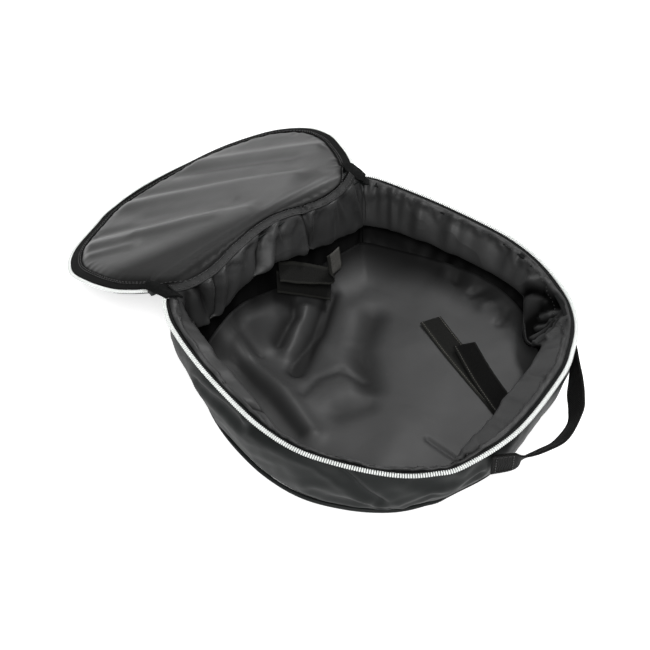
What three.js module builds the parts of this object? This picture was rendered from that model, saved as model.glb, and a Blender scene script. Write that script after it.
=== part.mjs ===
// Soft bag for a diving regulator, lying open on its back with the lid folded right over.
// Millimetres, +Z up, ground at z = 0. The hinge and the lid are toward +Y, the carry handle toward -Y.
import * as THREE from 'three';

// Driving dimensions
const HINGE_Y = 165;
const RIM_HEIGHT = 96;
const RIM_RISE = 15;
const RIM_SAG = 15;
const RIM_HALF_WIDTH = 182;
const CLOTH = 2;
const SEWN_GAP = 0.4;
const BASE_THICKNESS = 3;
const BASE_TURN_UP = 9.9;
const BASE_INSET = 6.5;
const PIPING_RADIUS = 2;
const FLOOR_THICKNESS = 6;
const LINING_LEAST = 5;
const INSET_SQUARE = 14;
const LINING_SEAM = { inside: 11.5, up: 0.985 };
const ZIP_SEAM_DROP = 4.6;
const TAPE_THICKNESS = 1.2;
const TAPE_INNER = 13;
const TAPE_OUTER = 2.4;
const TEETH_INNER = 2;
const TEETH_WIDTH = 3.2;
const TEETH_HEIGHT = 2.8;
const TUB_ZIP_DROP = { inner: 4.4, outer: 1.6, teeth: 2 };
const LID_ZIP_DROP = { inner: 0.8, outer: 1.2, teeth: 3.4 };
const ZIP_END_WIDTH = { tub: 15, lid: 11 };
const ZIP_END_DROP = { tub: 3.4, lid: 2 };
const ZIP_END_THICKNESS = 3;
const ZIP_END_CLEARANCE = 1.1;
const STRAP_WIDTH = 25;
const STRAP_THICKNESS = 1.8;
const HANDLE_WIDTH = 25;
const HANDLE_THICKNESS = 2;
const RIM_STATIONS = 60;
const HINGE_STATIONS = 12;
const LID_STATIONS = 50;
const STATION_PITCH = 14.5;

// Outline of the tub's rim: place along Y, half width there, and how far its middle leans to +X
const TUB_PLAN = [
  { y: 158, half: 137, lean: -5 },
  { y: 148, half: 145, lean: -5 },
  { y: 125, half: 155, lean: -5 },
  { y: 75, half: 168, lean: -2 },
  { y: 15, half: 177, lean: 2 },
  { y: -20, half: 177, lean: 3 },
  { y: -50, half: 171, lean: 3 },
  { y: -78, half: 159, lean: 3 },
  { y: -105, half: 143, lean: 2 },
  { y: -127, half: 123, lean: -2 },
  { y: -143, half: 99, lean: -8 },
  { y: -156, half: 69, lean: -15 },
];
const TUB_TIP = { x: -24, y: -166 };
const TUB_HINGE = { from: -134, to: 124 };

// Side wall from the base seam (up 0) to the zip seam (up 1): how far the cloth stands outside the rim line
const WALL_PROFILE = [
  { up: 0, out: -BASE_INSET },
  { up: 0.14, out: -2 },
  { up: 0.36, out: 1.5 },
  { up: 0.62, out: 1 },
  { up: 0.85, out: -3 },
  { up: 1, out: -8.5 },
];

// Padded lining from its top seam down to the floor: depth inside the rim line on three stretches of wall
const LINING_PROFILE = [
  { up: 0.97, side: 16, hinge: 15, handle: 19 },
  { up: 0.87, side: 23, hinge: 21, handle: 28 },
  { up: 0.72, side: 25, hinge: 27, handle: 31 },
  { up: 0.56, side: 23, hinge: 25, handle: 28 },
  { up: 0.4, side: 19, hinge: 16, handle: 22 },
  { up: 0.18, side: 15, hinge: 13, handle: 17 },
  { up: 0.03, side: 17, hinge: 16, handle: 18 },
];

// Where the foot of the wall stands in from the rim: place on the outline, reach along it, depth
const FOOT_TUCKS = [
  { x: -80, y: -155, reach: 76, depth: 17 },
  { x: 45, y: -156, reach: 60, depth: 15 },
  { x: -150, y: 140, reach: 70, depth: 16 },
  { x: 140, y: 140, reach: 80, depth: 12 },
];

// Creases pressed into the side wall: place on the outline, height, tilt, length and depth
const WALL_CREASES = [
  { x: -150, y: -80, up: 0.62, slope: -0.006, reach: 48, width: 0.16, depth: 4 },
  { x: -128, y: -118, up: 0.36, slope: -0.009, reach: 34, width: 0.15, depth: 4.5 },
  { x: -172, y: 20, up: 0.7, slope: 0.004, reach: 60, width: 0.14, depth: 3 },
  { x: 120, y: -120, up: 0.5, slope: 0.007, reach: 45, width: 0.18, depth: 4 },
  { x: 176, y: 30, up: 0.45, slope: -0.004, reach: 70, width: 0.16, depth: 3 },
];

// Gathers of the lining: stretch of the outline, number of pleats on it and their depth
const GATHERS = [
  { name: 'hinge wall', x: 0, y: 165, reach: 120, pitch: 27, depth: 3.5 },
  { name: 'handle end', x: 150, y: -85, reach: 55, pitch: 30, depth: 5 },
  { name: 'near side', x: -165, y: -20, reach: 110, pitch: 46, depth: 2.5 },
  { name: 'far side', x: 172, y: 40, reach: 90, pitch: 52, depth: 3 },
];

// Soft hollows and swellings of the floor lining: centre, reach along X and Y, height
const FLOOR_DENTS = [
  { x: -52, y: 70, alongX: 22, alongY: 46, rise: -2.6 },
  { x: 4, y: 30, alongX: 26, alongY: 60, rise: -2.4 },
  { x: -92, y: 52, alongX: 24, alongY: 38, rise: 2.6 },
  { x: -22, y: 74, alongX: 16, alongY: 44, rise: 2.4 },
  { x: -60, y: -66, alongX: 60, alongY: 22, rise: 1.6 },
  { x: -96, y: -30, alongX: 26, alongY: 44, rise: 2 },
];

// Lid, opened right back: distance beyond the hinge, half width, lean to +X, height of its two edges
const LID_PLAN = [
  { out: 16, half: 142, lean: -2, left: 97.5, right: 98.5, crown: 8 },
  { out: 34, half: 153, lean: 1, left: 90, right: 94, crown: 6 },
  { out: 60, half: 165, lean: 6, left: 80, right: 87, crown: 4 },
  { out: 105, half: 177, lean: 18, left: 62, right: 74, crown: 2 },
  { out: 153, half: 177, lean: 27, left: 42, right: 58, crown: 1 },
  { out: 197, half: 153, lean: 33, left: 25, right: 43, crown: 0 },
  { out: 231, half: 107, lean: 38, left: 14, right: 28, crown: 0 },
  { out: 248, half: 67, lean: 32, left: 10.5, right: 18, crown: 0 },
];
const LID_TIP = { x: 22, out: 255 };
const LID_HINGE = { from: -134, to: 130, out: 12 };
const LID_MIDDLE = { x: 18, out: 124 };
const LID_DEPTH = 9.5;
const LID_TURN_UP = 1.7;
const LID_BORDER = 14;
const LID_SHELL_EDGE = 1.5;
const LID_SEAM_RISE = 0.4;
const LID_PADDING = 1.5;

// Long soft ridges of the lid's lining, running across it: distance beyond the hinge, width, height
const LID_RIDGES = [
  { out: 62, slant: 0.1, width: 20, rise: 1.6 },
  { out: 118, slant: 0.12, width: 16, rise: 2 },
  { out: 176, slant: 0.12, width: 18, rise: 1.8 },
];

// Straps inside: middle line from the sewn end, height over the floor, turn of the strap about Z in degrees
const STRAPS = {
  strap_long: [
    { x: 40, y: -117, lift: 0, turn: 19 },
    { x: 45, y: -102, lift: 0, turn: 19 },
    { x: 58, y: -62, lift: 0, turn: 19 },
    { x: 72, y: -20, lift: 0.4, turn: 19 },
    { x: 85, y: 16, lift: 2, turn: 19 },
  ],
  strap_short: [
    { x: 41, y: -115, lift: 2.4, turn: 21 },
    { x: 46, y: -102, lift: 2.6, turn: 21 },
    { x: 60, y: -70, lift: 3.4, turn: 21 },
    { x: 78, y: -34, lift: 6, turn: 21 },
  ],
  strap_under: [
    { x: 2, y: 143.6, lift: 27, turn: 0 },
    { x: 14, y: 137, lift: 18, turn: 8 },
    { x: 26, y: 128, lift: 11, turn: 18 },
    { x: 38, y: 116, lift: 8, turn: 25 },
  ],
  strap_folded: [
    { x: 4, y: 141.1, lift: 34, turn: 0 },
    { x: 16, y: 135, lift: 26, turn: 8 },
    { x: 30, y: 127, lift: 20, turn: 20 },
    { x: 41, y: 118, lift: 18, turn: 28 },
    { x: 47, y: 116, lift: 24, turn: 30 },
    { x: 52, y: 121, lift: 35, turn: 30 },
    { x: 58, y: 129, lift: 46, turn: 30 },
  ],
};

// Carry handle: its two sewn ends on the wall, then the free loop between them with the direction across it
const HANDLE_ENDS = {
  near: { x: -52, y: -163, z: 57, off: 1.1, acrossX: 0, acrossY: 0, acrossZ: 1 },
  far: { x: 106, y: -137, z: 57, off: 1.6, acrossX: 0, acrossY: 0, acrossZ: 1 },
};
const HANDLE_LOOP = [
  { x: -37, y: -174, z: 58, acrossX: -0.15, acrossY: 0, acrossZ: 0.98 },
  { x: -28, y: -179, z: 60, acrossX: -0.37, acrossY: -0.41, acrossZ: 0.83 },
  { x: -12, y: -186, z: 62, acrossX: -0.27, acrossY: -0.55, acrossZ: 0.79 },
  { x: 6, y: -190.5, z: 63, acrossX: -0.1, acrossY: -0.55, acrossZ: 0.82 },
  { x: 36, y: -185, z: 62, acrossX: 0.2, acrossY: -0.33, acrossZ: 0.92 },
  { x: 53, y: -175.5, z: 61, acrossX: 0.27, acrossY: -0.28, acrossZ: 0.92 },
  { x: 70, y: -163, z: 59, acrossX: 0.3, acrossY: -0.26, acrossZ: 0.92 },
  { x: 87, y: -151, z: 57.5, acrossX: 0.14, acrossY: -0.14, acrossZ: 0.98 },
];

// Cloth colours
const BLACK_NYLON = { color: 0x232726, roughness: 0.7, metalness: 0 };
const GREY_LINING = { color: 0x47484a, roughness: 0.5, metalness: 0 };
const PALE_LINING = { color: 0x5f605f, roughness: 0.48, metalness: 0 };
const BLACK_WEBBING = { color: 0x171716, roughness: 0.85, metalness: 0 };
const ZIP_WHITE = { color: 0xdde0dc, roughness: 0.4, metalness: 0 };

// Shared helpers
const vec = (x, y, z) => new THREE.Vector3(x, y, z);
const mix = THREE.MathUtils.lerp;
const bump = (distance, reach) => Math.exp(-((distance / reach) ** 2));

function lookup(rows, key, value, column) {
  const next = rows.findIndex((row) => row[key] >= value);
  if (next === 0) return rows[0][column];
  if (next < 0) return rows[rows.length - 1][column];
  const from = rows[next - 1];
  const to = rows[next];
  return mix(from[column], to[column], (value - from[key]) / (to[key] - from[key]));
}

// Closed skin over rings of equal length. The ring list is joined end to start, or each end is closed:
// by a fan round the middle of a round ring, or by rungs across the section of a thin band.
function skin(rings, ends) {
  const size = rings[0].length;
  const points = rings.flat();
  const faces = [];
  const spans = ends === 'joined' ? rings.length : rings.length - 1;
  for (let row = 0; row < spans; row += 1) {
    const here = row * size;
    const there = ((row + 1) % rings.length) * size;
    for (let step = 0; step < size; step += 1) {
      const next = (step + 1) % size;
      faces.push(here + step, here + next, there + next);
      faces.push(here + step, there + next, there + step);
    }
  }
  if (ends !== 'joined') {
    const close = ends === 'fan' ? fanCap : rungCap;
    const last = (rings.length - 1) * size;
    faces.push(...close(points, 0, size).reverse());
    faces.push(...close(points, last, size));
  }
  return facingOut(points, faces);
}

function fanCap(points, start, size) {
  const middle = vec(0, 0, 0);
  for (let step = 0; step < size; step += 1) middle.addScaledVector(points[start + step], 1 / size);
  const hub = points.push(middle) - 1;
  const faces = [];
  for (let step = 0; step < size; step += 1) faces.push(hub, start + step, start + (step + 1) % size);
  return faces;
}

function rungCap(points, start, size) {
  const faces = [];
  for (let rung = 0; rung < size / 2 - 1; rung += 1) {
    const left = start + rung;
    const right = start + size - 1 - rung;
    faces.push(left, left + 1, right - 1);
    faces.push(left, right - 1, right);
  }
  return faces;
}

function facingOut(points, faces) {
  let volume = 0;
  for (let f = 0; f < faces.length; f += 3) {
    const [a, b, c] = [points[faces[f]], points[faces[f + 1]], points[faces[f + 2]]];
    volume += a.dot(vec(0, 0, 0).crossVectors(b, c));
  }
  if (volume < 0) faces.reverse();
  const geometry = new THREE.BufferGeometry();
  const coordinates = points.flatMap((p) => p.toArray());
  geometry.setAttribute('position', new THREE.Float32BufferAttribute(coordinates, 3));
  geometry.setIndex(faces);
  geometry.computeVertexNormals();
  return geometry;
}

function piece(name, geometry, cloth) {
  const mesh = new THREE.Mesh(geometry, new THREE.MeshStandardMaterial(cloth));
  mesh.name = name;
  return mesh;
}

// Stations round an outline: the zipped run first, then the straight hinge edge
function stationsAround(zipped, hinge, zippedCount, hingeCount) {
  const zipRun = new THREE.CatmullRomCurve3(zipped, false, 'catmullrom', 0.5).getSpacedPoints(zippedCount);
  const hingeRun = new THREE.CatmullRomCurve3(hinge, false, 'catmullrom', 0.5).getSpacedPoints(hingeCount);
  const spots = [...zipRun, ...hingeRun.slice(1, -1)];
  const count = spots.length;
  const edge = spots.map((spot, i) => {
    const along = spots[(i + 1) % count].clone().sub(spots[(i + count - 1) % count]);
    return vec(-along.y, along.x, 0).normalize();
  });
  return spots.map((spot, i) => {
    const outward = edge[i].clone().multiplyScalar(2);
    outward.add(edge[(i + 1) % count]).add(edge[(i + count - 1) % count]).normalize();
    return { spot, outward, zipped: i <= zippedCount };
  });
}

// Outline of the tub
const rimHeight = (x, y) => RIM_HEIGHT + RIM_RISE * y / HINGE_Y - RIM_SAG * (x / RIM_HALF_WIDTH) ** 2;
const onRim = (x, y) => vec(x, y, rimHeight(x, y));
const farSide = TUB_PLAN.map((row) => onRim(row.lean + row.half, row.y));
const nearSide = TUB_PLAN.map((row) => onRim(row.lean - row.half, row.y)).reverse();
const hingeShares = [0, 0.25, 0.5, 0.75, 1];
const hingeEdge = hingeShares.map((share) => onRim(mix(TUB_HINGE.from, TUB_HINGE.to, share), HINGE_Y));
const rim = stationsAround(
  [...farSide, onRim(TUB_TIP.x, TUB_TIP.y), ...nearSide],
  [nearSide.at(-1), ...hingeEdge, farSide[0]],
  RIM_STATIONS,
  HINGE_STATIONS,
);

const rimDistance = ({ spot }, place) => Math.hypot(spot.x - place.x, spot.y - place.y);
function tuck(station) {
  return FOOT_TUCKS.reduce((sum, t) => sum + t.depth * bump(rimDistance(station, t), t.reach), 0);
}

const wallHeight = ({ spot }, up) => mix(BASE_TURN_UP + SEWN_GAP, spot.z - ZIP_SEAM_DROP, up);
const offRim = ({ spot, outward }, out, z) => vec(spot.x + outward.x * out, spot.y + outward.y * out, z);

// Ring inside the rim line: square to the outline at first, then straight toward the middle of the tub
function insideRim(station, inside, z) {
  const square = Math.min(inside, INSET_SQUARE);
  const p = offRim(station, -square, z);
  const shrink = 1 - (inside - square) / Math.hypot(p.x, p.y);
  return vec(p.x * shrink, p.y * shrink, z);
}

function creaseDepth(station, up) {
  let depth = 0;
  for (const crease of WALL_CREASES) {
    const far = rimDistance(station, crease);
    const side = Math.sign((station.spot.x - crease.x) * station.outward.y
      - (station.spot.y - crease.y) * station.outward.x);
    const middle = crease.up + crease.slope * far * side;
    depth += crease.depth * bump(far, crease.reach) * bump(up - middle, crease.width);
  }
  return depth;
}

function wallOut(station, up) {
  const out = lookup(WALL_PROFILE, 'up', up, 'out');
  return out - tuck(station) * (1 - up) ** 1.4 - creaseDepth(station, up) * Math.sin(Math.PI * up);
}

const atHinge = ({ outward }) => Math.max(0, outward.y) ** 3;
const atHandle = ({ outward }) => Math.max(0, -outward.y) ** 3;

function gatherDepth(station, index) {
  let depth = 0;
  for (const gather of GATHERS) {
    const fade = bump(rimDistance(station, gather), gather.reach);
    depth += gather.depth * fade * Math.cos(2 * Math.PI * index * STATION_PITCH / gather.pitch);
  }
  return depth;
}

// Tub
function outerWall() {
  const face = (depth) => WALL_PROFILE.map(({ up }) => (
    rim.map((s) => insideRim(s, depth - wallOut(s, up), wallHeight(s, up)))
  ));
  return skin([...face(0), ...face(CLOTH).reverse()], 'joined');
}

function liningWall() {
  const behind = WALL_PROFILE.slice(0, -1).map(({ up }) => {
    const height = Math.max(up, 0.02);
    return rim.map((s) => insideRim(s, CLOTH + SEWN_GAP - wallOut(s, up), wallHeight(s, height)));
  });
  const top = rim.map((s) => offRim(s, -LINING_SEAM.inside, wallHeight(s, LINING_SEAM.up)));
  const front = LINING_PROFILE.map((row) => rim.map((s, i) => {
    const inside = mix(mix(row.side, row.hinge, atHinge(s)), row.handle, atHandle(s));
    const pleat = gatherDepth(s, i) * Math.sin(Math.PI * Math.min(1, row.up + 0.2));
    const backed = CLOTH + SEWN_GAP + LINING_LEAST - wallOut(s, row.up);
    const depth = inside - pleat + tuck(s) * (1 - row.up) ** 1.4;
    return insideRim(s, Math.max(backed, depth), wallHeight(s, row.up));
  }));
  return skin([...front.reverse(), top, ...behind.reverse()], 'joined');
}

function basePanel() {
  const ring = (inside, z) => rim.map((s) => insideRim(s, BASE_INSET + inside + tuck(s), z));
  return skin([
    ring(64, 0),
    ring(16, 0),
    ring(6, 2.5),
    ring(0, BASE_TURN_UP),
    ring(BASE_THICKNESS, BASE_TURN_UP),
    ring(8.5, 4.8),
    ring(17, BASE_THICKNESS),
    ring(64, BASE_THICKNESS),
  ], 'fan');
}

function basePiping() {
  const sides = 6;
  const rings = [];
  for (let side = 0; side < sides; side += 1) {
    const turn = 2 * Math.PI * side / sides;
    const out = 1.5 * SEWN_GAP + PIPING_RADIUS + PIPING_RADIUS * Math.cos(turn);
    const z = BASE_TURN_UP + PIPING_RADIUS * Math.sin(turn);
    rings.push(rim.map((s) => insideRim(s, BASE_INSET + tuck(s) - out, z)));
  }
  return skin(rings, 'joined');
}

function floorTop(x, y) {
  let z = BASE_THICKNESS + SEWN_GAP + FLOOR_THICKNESS;
  for (const dent of FLOOR_DENTS) {
    z += dent.rise * bump(x - dent.x, dent.alongX) * bump(y - dent.y, dent.alongY);
  }
  return z;
}

function liningFloor() {
  const under = BASE_THICKNESS + SEWN_GAP;
  const ring = (inside, z) => rim.map((s) => insideRim(s, BASE_INSET + inside + tuck(s), z));
  const edge = ring(12, under + FLOOR_THICKNESS);
  const onFloor = (x, y) => vec(x, y, floorTop(x, y));
  const shrunk = (share) => edge.map((p) => onFloor(p.x * share, p.y * share));
  const below = edge.map((p) => vec(p.x * 0.5, p.y * 0.5, under));
  const top = [0.9, 0.72, 0.54, 0.36, 0.18].map(shrunk);
  return skin([below, ring(20, under), ring(11, under + 3), edge, ...top], 'fan');
}

// Tape and teeth sewn along a zipped run: a closed section at every station
function tapeAlong(stations, drop, height) {
  return skin(stations.map((s) => {
    const inner = offRim(s, -TAPE_INNER, 0);
    const outer = offRim(s, -TAPE_OUTER, 0);
    const low = [inner.setZ(height(s, inner) - drop.inner), outer.setZ(height(s, outer) - drop.outer)];
    const high = low.map((p) => vec(p.x, p.y, p.z + TAPE_THICKNESS)).reverse();
    return [...low, ...high];
  }), 'rungs');
}

function teethAlong(stations, drop) {
  return skin(stations.map((s) => {
    const bottom = s.spot.z - drop.teeth;
    const top = bottom + TEETH_HEIGHT;
    const outer = TEETH_WIDTH - TEETH_INNER;
    return [
      offRim(s, -TEETH_INNER, bottom),
      offRim(s, outer, bottom),
      offRim(s, outer, top),
      offRim(s, -TEETH_INNER, top),
    ];
  }), 'rungs');
}

const zippedRim = rim.filter((station) => station.zipped);
const atRim = ({ spot }) => spot.z;

// Lid
const lidRow = (out, column) => lookup(LID_PLAN, 'out', out, column);

function lidHeight(x, y) {
  const out = y - HINGE_Y;
  const side = THREE.MathUtils.clamp((x - lidRow(out, 'lean')) / lidRow(out, 'half'), -1, 1);
  const edges = mix(lidRow(out, 'left'), lidRow(out, 'right'), (side + 1) / 2);
  return edges + lidRow(out, 'crown') * (1 - side ** 2);
}

const onLid = (x, out) => vec(x, HINGE_Y + out, lidHeight(x, HINGE_Y + out));
const lidFar = LID_PLAN.map((row) => onLid(row.lean + row.half, row.out)).reverse();
const lidNear = LID_PLAN.map((row) => onLid(row.lean - row.half, row.out));
const lidEdge = hingeShares.map((share) => onLid(mix(LID_HINGE.to, LID_HINGE.from, share), LID_HINGE.out));
const lid = stationsAround(
  [...lidNear, onLid(LID_TIP.x, LID_TIP.out), ...lidFar],
  [lidFar.at(-1), ...lidEdge, lidNear[0]],
  LID_STATIONS,
  HINGE_STATIONS,
);
const zippedLid = lid.filter((station) => station.zipped);
const atLid = (station, place) => lidHeight(place.x, place.y);

// Ring of the lid a given depth inside its edge, or shrunk toward its middle, at a height over its surface
function lidRing(inside, share, rise) {
  return lid.map((s) => {
    const p = offRim(s, s.zipped ? -inside : 0, 0);
    const x = mix(LID_MIDDLE.x, p.x, share);
    const y = mix(HINGE_Y + LID_MIDDLE.out, p.y, share);
    return vec(x, y, lidHeight(x, y) + (typeof rise === 'number' ? rise : rise(x, y)));
  });
}

function lidRise(x, y) {
  let rise = LID_PADDING;
  for (const ridge of LID_RIDGES) {
    rise += ridge.rise * bump(y - HINGE_Y - ridge.out - ridge.slant * x, ridge.width);
  }
  return rise;
}

function lidShell() {
  const low = -LID_DEPTH;
  const high = CLOTH - LID_DEPTH;
  return skin([
    lidRing(LID_BORDER, 0.5, low),
    lidRing(LID_BORDER, 0.85, low),
    lidRing(LID_SHELL_EDGE, 1, low + LID_TURN_UP),
    lidRing(LID_SHELL_EDGE, 1, high + LID_TURN_UP),
    lidRing(LID_BORDER, 1, high + LID_TURN_UP),
    lidRing(LID_BORDER, 0.85, high),
    lidRing(LID_BORDER, 0.5, high),
  ], 'fan');
}

function lidLining() {
  const low = CLOTH + SEWN_GAP - LID_DEPTH;
  return skin([
    lidRing(LID_BORDER, 0.25, lidRise),
    lidRing(LID_BORDER, 0.5, lidRise),
    lidRing(LID_BORDER, 0.75, lidRise),
    lidRing(LID_BORDER, 0.94, lidRise),
    lidRing(LID_BORDER, 1, LID_SEAM_RISE),
    lidRing(LID_BORDER, 1, low + LID_TURN_UP),
    lidRing(LID_BORDER, 0.85, low),
    lidRing(LID_BORDER, 0.5, low),
  ], 'fan');
}

// Cloth strip over the fold between tub and lid: place across the fold and height over the rim
const HINGE_SECTION = [
  { across: -18, over: -6 },
  { across: -12, over: -2.2 },
  { across: -4, over: -0.2 },
  { across: 4, over: -0.2 },
  { across: 11.3, over: -3 },
];
const HINGE_ENDS = { from: -125, to: 115 };

function hingeStrip() {
  const sections = [];
  for (let step = 0; step <= HINGE_STATIONS; step += 1) {
    const x = mix(HINGE_ENDS.from, HINGE_ENDS.to, step / HINGE_STATIONS);
    const at = (row, drop) => vec(x, HINGE_Y + row.across, rimHeight(x, HINGE_Y) + row.over - drop);
    const top = HINGE_SECTION.map((row) => at(row, 0));
    const underside = HINGE_SECTION.map((row) => at(row, CLOTH)).reverse();
    sections.push([...top, ...underside]);
  }
  return skin(sections, 'rungs');
}

// Flat band along a middle line, with the direction across it at every step
function flatBand(path, across, width, thickness, steps) {
  const line = new THREE.CatmullRomCurve3(path, false, 'catmullrom', 0.5);
  const turn = new THREE.CatmullRomCurve3(across, false, 'catmullrom', 0.5);
  const sections = [];
  for (let step = 0; step <= steps; step += 1) {
    const middle = line.getPoint(step / steps);
    const along = line.getTangent(step / steps);
    const side = turn.getPoint(step / steps);
    side.addScaledVector(along, -side.dot(along)).normalize();
    const face = vec(0, 0, 0).crossVectors(along, side);
    sections.push([[-1, -1], [1, -1], [1, 1], [-1, 1]].map(([a, b]) => middle.clone()
      .addScaledVector(side, a * width / 2)
      .addScaledVector(face, b * thickness / 2)));
  }
  return skin(sections, 'rungs');
}

function innerStrap(path) {
  const rest = SEWN_GAP + STRAP_THICKNESS / 2;
  const line = path.map((p) => vec(p.x, p.y, floorTop(p.x, p.y) + rest + p.lift));
  const across = path.map((p) => {
    const turn = THREE.MathUtils.degToRad(p.turn);
    return vec(Math.cos(turn), Math.sin(turn), 0);
  });
  return flatBand(line, across, STRAP_WIDTH, STRAP_THICKNESS, 12);
}

// Point just off the outside of the wall, near a place on the outline and at a given height
function offWall(place, clearance) {
  const nearest = rim.reduce((best, s) => (rimDistance(s, place) < rimDistance(best, place) ? s : best));
  const foot = wallHeight(nearest, 0);
  const up = (place.z - foot) / (wallHeight(nearest, 1) - foot);
  return insideRim(nearest, -wallOut(nearest, up) - clearance, place.z);
}

function carryHandle() {
  const ends = [HANDLE_ENDS.near, HANDLE_ENDS.far];
  const [near, far] = ends.map((end) => offWall(end, HANDLE_THICKNESS / 2 + end.off));
  const line = [near, ...HANDLE_LOOP.map((p) => vec(p.x, p.y, p.z)), far];
  const across = [ends[0], ...HANDLE_LOOP, ends[1]].map((p) => vec(p.acrossX, p.acrossY, p.acrossZ));
  return flatBand(line, across, HANDLE_WIDTH, HANDLE_THICKNESS, 40);
}

// Cloth tab that bridges the ends of the two zip tapes at a corner of the hinge
function zipEnd(tubStation, lidStation) {
  const apart = lidStation.spot.clone().sub(tubStation.spot).normalize().multiplyScalar(ZIP_END_CLEARANCE);
  const section = (station, side, shift) => {
    const low = station.spot.z - ZIP_END_DROP[side];
    const high = low + ZIP_END_THICKNESS;
    const inner = -ZIP_END_WIDTH[side];
    const corners = [[inner, low], [-1, low], [-1, high], [inner, high]];
    return corners.map(([out, z]) => offRim(station, out, z).add(shift));
  };
  const tubEnd = section(tubStation, 'tub', apart);
  const lidEnd = section(lidStation, 'lid', apart.negate());
  return skin([tubEnd, lidEnd], 'rungs');
}

// Assembly
const bag = new THREE.Group();
bag.add(piece('base_panel', basePanel(), BLACK_NYLON));
bag.add(piece('base_piping', basePiping(), BLACK_NYLON));
bag.add(piece('outer_wall', outerWall(), BLACK_NYLON));
bag.add(piece('lining_wall', liningWall(), GREY_LINING));
bag.add(piece('lining_floor', liningFloor(), GREY_LINING));
bag.add(piece('zip_tape_tub', tapeAlong(zippedRim, TUB_ZIP_DROP, atRim), BLACK_NYLON));
bag.add(piece('zip_teeth_tub', teethAlong(zippedRim, TUB_ZIP_DROP), ZIP_WHITE));
bag.add(piece('lid_shell', lidShell(), BLACK_NYLON));
bag.add(piece('lid_lining', lidLining(), PALE_LINING));
bag.add(piece('zip_tape_lid', tapeAlong(zippedLid, LID_ZIP_DROP, atLid), BLACK_NYLON));
bag.add(piece('zip_teeth_lid', teethAlong(zippedLid, LID_ZIP_DROP), ZIP_WHITE));
bag.add(piece('hinge_strip', hingeStrip(), GREY_LINING));
bag.add(piece('zip_end_left', zipEnd(zippedRim.at(-1), zippedLid[0]), BLACK_NYLON));
bag.add(piece('zip_end_right', zipEnd(zippedRim[0], zippedLid.at(-1)), BLACK_NYLON));
for (const [name, path] of Object.entries(STRAPS)) {
  bag.add(piece(name, innerStrap(path), BLACK_WEBBING));
}
bag.add(piece('carry_handle', carryHandle(), BLACK_WEBBING));

export default bag;
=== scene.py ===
import math

import bpy
import numpy as np
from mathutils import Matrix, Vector


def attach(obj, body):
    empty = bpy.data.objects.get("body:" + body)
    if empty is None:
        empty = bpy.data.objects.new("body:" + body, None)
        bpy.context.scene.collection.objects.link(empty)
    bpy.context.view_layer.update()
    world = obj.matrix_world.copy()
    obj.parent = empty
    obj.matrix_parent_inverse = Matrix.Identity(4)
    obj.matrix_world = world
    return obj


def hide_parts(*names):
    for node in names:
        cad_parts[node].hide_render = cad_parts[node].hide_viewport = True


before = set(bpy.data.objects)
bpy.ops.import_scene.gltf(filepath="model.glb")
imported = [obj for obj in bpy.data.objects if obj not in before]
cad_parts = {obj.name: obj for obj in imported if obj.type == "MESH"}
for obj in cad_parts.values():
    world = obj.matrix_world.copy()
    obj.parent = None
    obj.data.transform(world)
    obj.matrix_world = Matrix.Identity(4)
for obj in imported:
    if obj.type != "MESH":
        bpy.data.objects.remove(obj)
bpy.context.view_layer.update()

# Soft bag for a diving regulator, lying open on its back. Lengths are in millimetres until a mesh is made.
MM = 0.001
UP = (0.0, 0.0, 1.0)
STATION = 2.5
NORMAL_SMOOTHING = 14
INSET_SQUARE = 14

# Rim, wall and bottom
HINGE_Y = 165
RIM_HEIGHT = 96
RIM_RISE = 15
RIM_SAG = 15
RIM_HALF_WIDTH = 182
SEAM_DROP = 4.6
WALL_CLEARANCE = 10
BASE_INSET = 6.5
BASE_TURN_UP = 9.9
WALL_FOOT = BASE_TURN_UP + 0.4
TUCK_FADE = 1.4
PIPING_RADIUS = 2
PIPING_PROUD = 0.6
PIPING_SIDES = 10
FLOOR_LEVEL = 9.4
LID_BORDER = 14

# Tape, webbing and zip
STRAP_WIDTH = 25
STRAP_THICKNESS = 1.8
HANDLE_WIDTH = 25
HANDLE_THICKNESS = 2
TOOTH_PITCH = 2.1
TOOTH_SIZE = (4.0, 1.75, 2.6)
TOOTH_SET_BACK = 0.4

# Thickness of the cloths
BASE_CLOTH = 2.2
SHELL_CLOTH = 1.2
STRIP_CLOTH = 1.2
WALL_PADDING = 1.5
PANEL_PADDING = 2
TAPE_CLOTH = 0.9
TAB_CLOTH = 1.6

# Stitches: length, gap, thickness
LINING_STITCH = (1.6, 2.6, 0.8)
TAPE_STITCH = (3.0, 1.4, 0.8)
BORDER_STITCH = (2.6, 2.2, 0.9)
HINGE_STITCH = (2.8, 1.8, 0.7)
STRAP_STITCH = (1.8, 1.0, 0.6)
HANDLE_STITCH = (2.4, 1.2, 0.8)

# Outline of the rim: place along Y, half width, lean of the middle to +X
TUB_PLAN = [
    (158, 137, -5), (148, 145, -5), (125, 155, -5), (75, 168, -2), (15, 177, 2), (-20, 177, 3),
    (-50, 171, 3), (-78, 159, 3), (-105, 143, 2), (-127, 123, -2), (-143, 99, -8), (-156, 69, -15),
]
TUB_TIP = (-24, -166)
TUB_HINGE = (-134, 124)

# Lid: distance beyond the hinge, half width, lean, height of its left and right edge, crown
LID_PLAN = [
    (16, 142, -2, 97.5, 98.5, 8), (34, 153, 1, 90, 94, 6), (60, 165, 6, 80, 87, 4),
    (105, 177, 18, 62, 74, 2), (153, 177, 27, 42, 58, 1), (197, 153, 33, 25, 43, 0),
    (231, 107, 38, 14, 28, 0), (248, 67, 32, 10.5, 18, 0),
]
LID_TIP = (22, 255)
LID_HINGE = (-134, 130, 12)
LID_MIDDLE = (18, 124)

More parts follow.
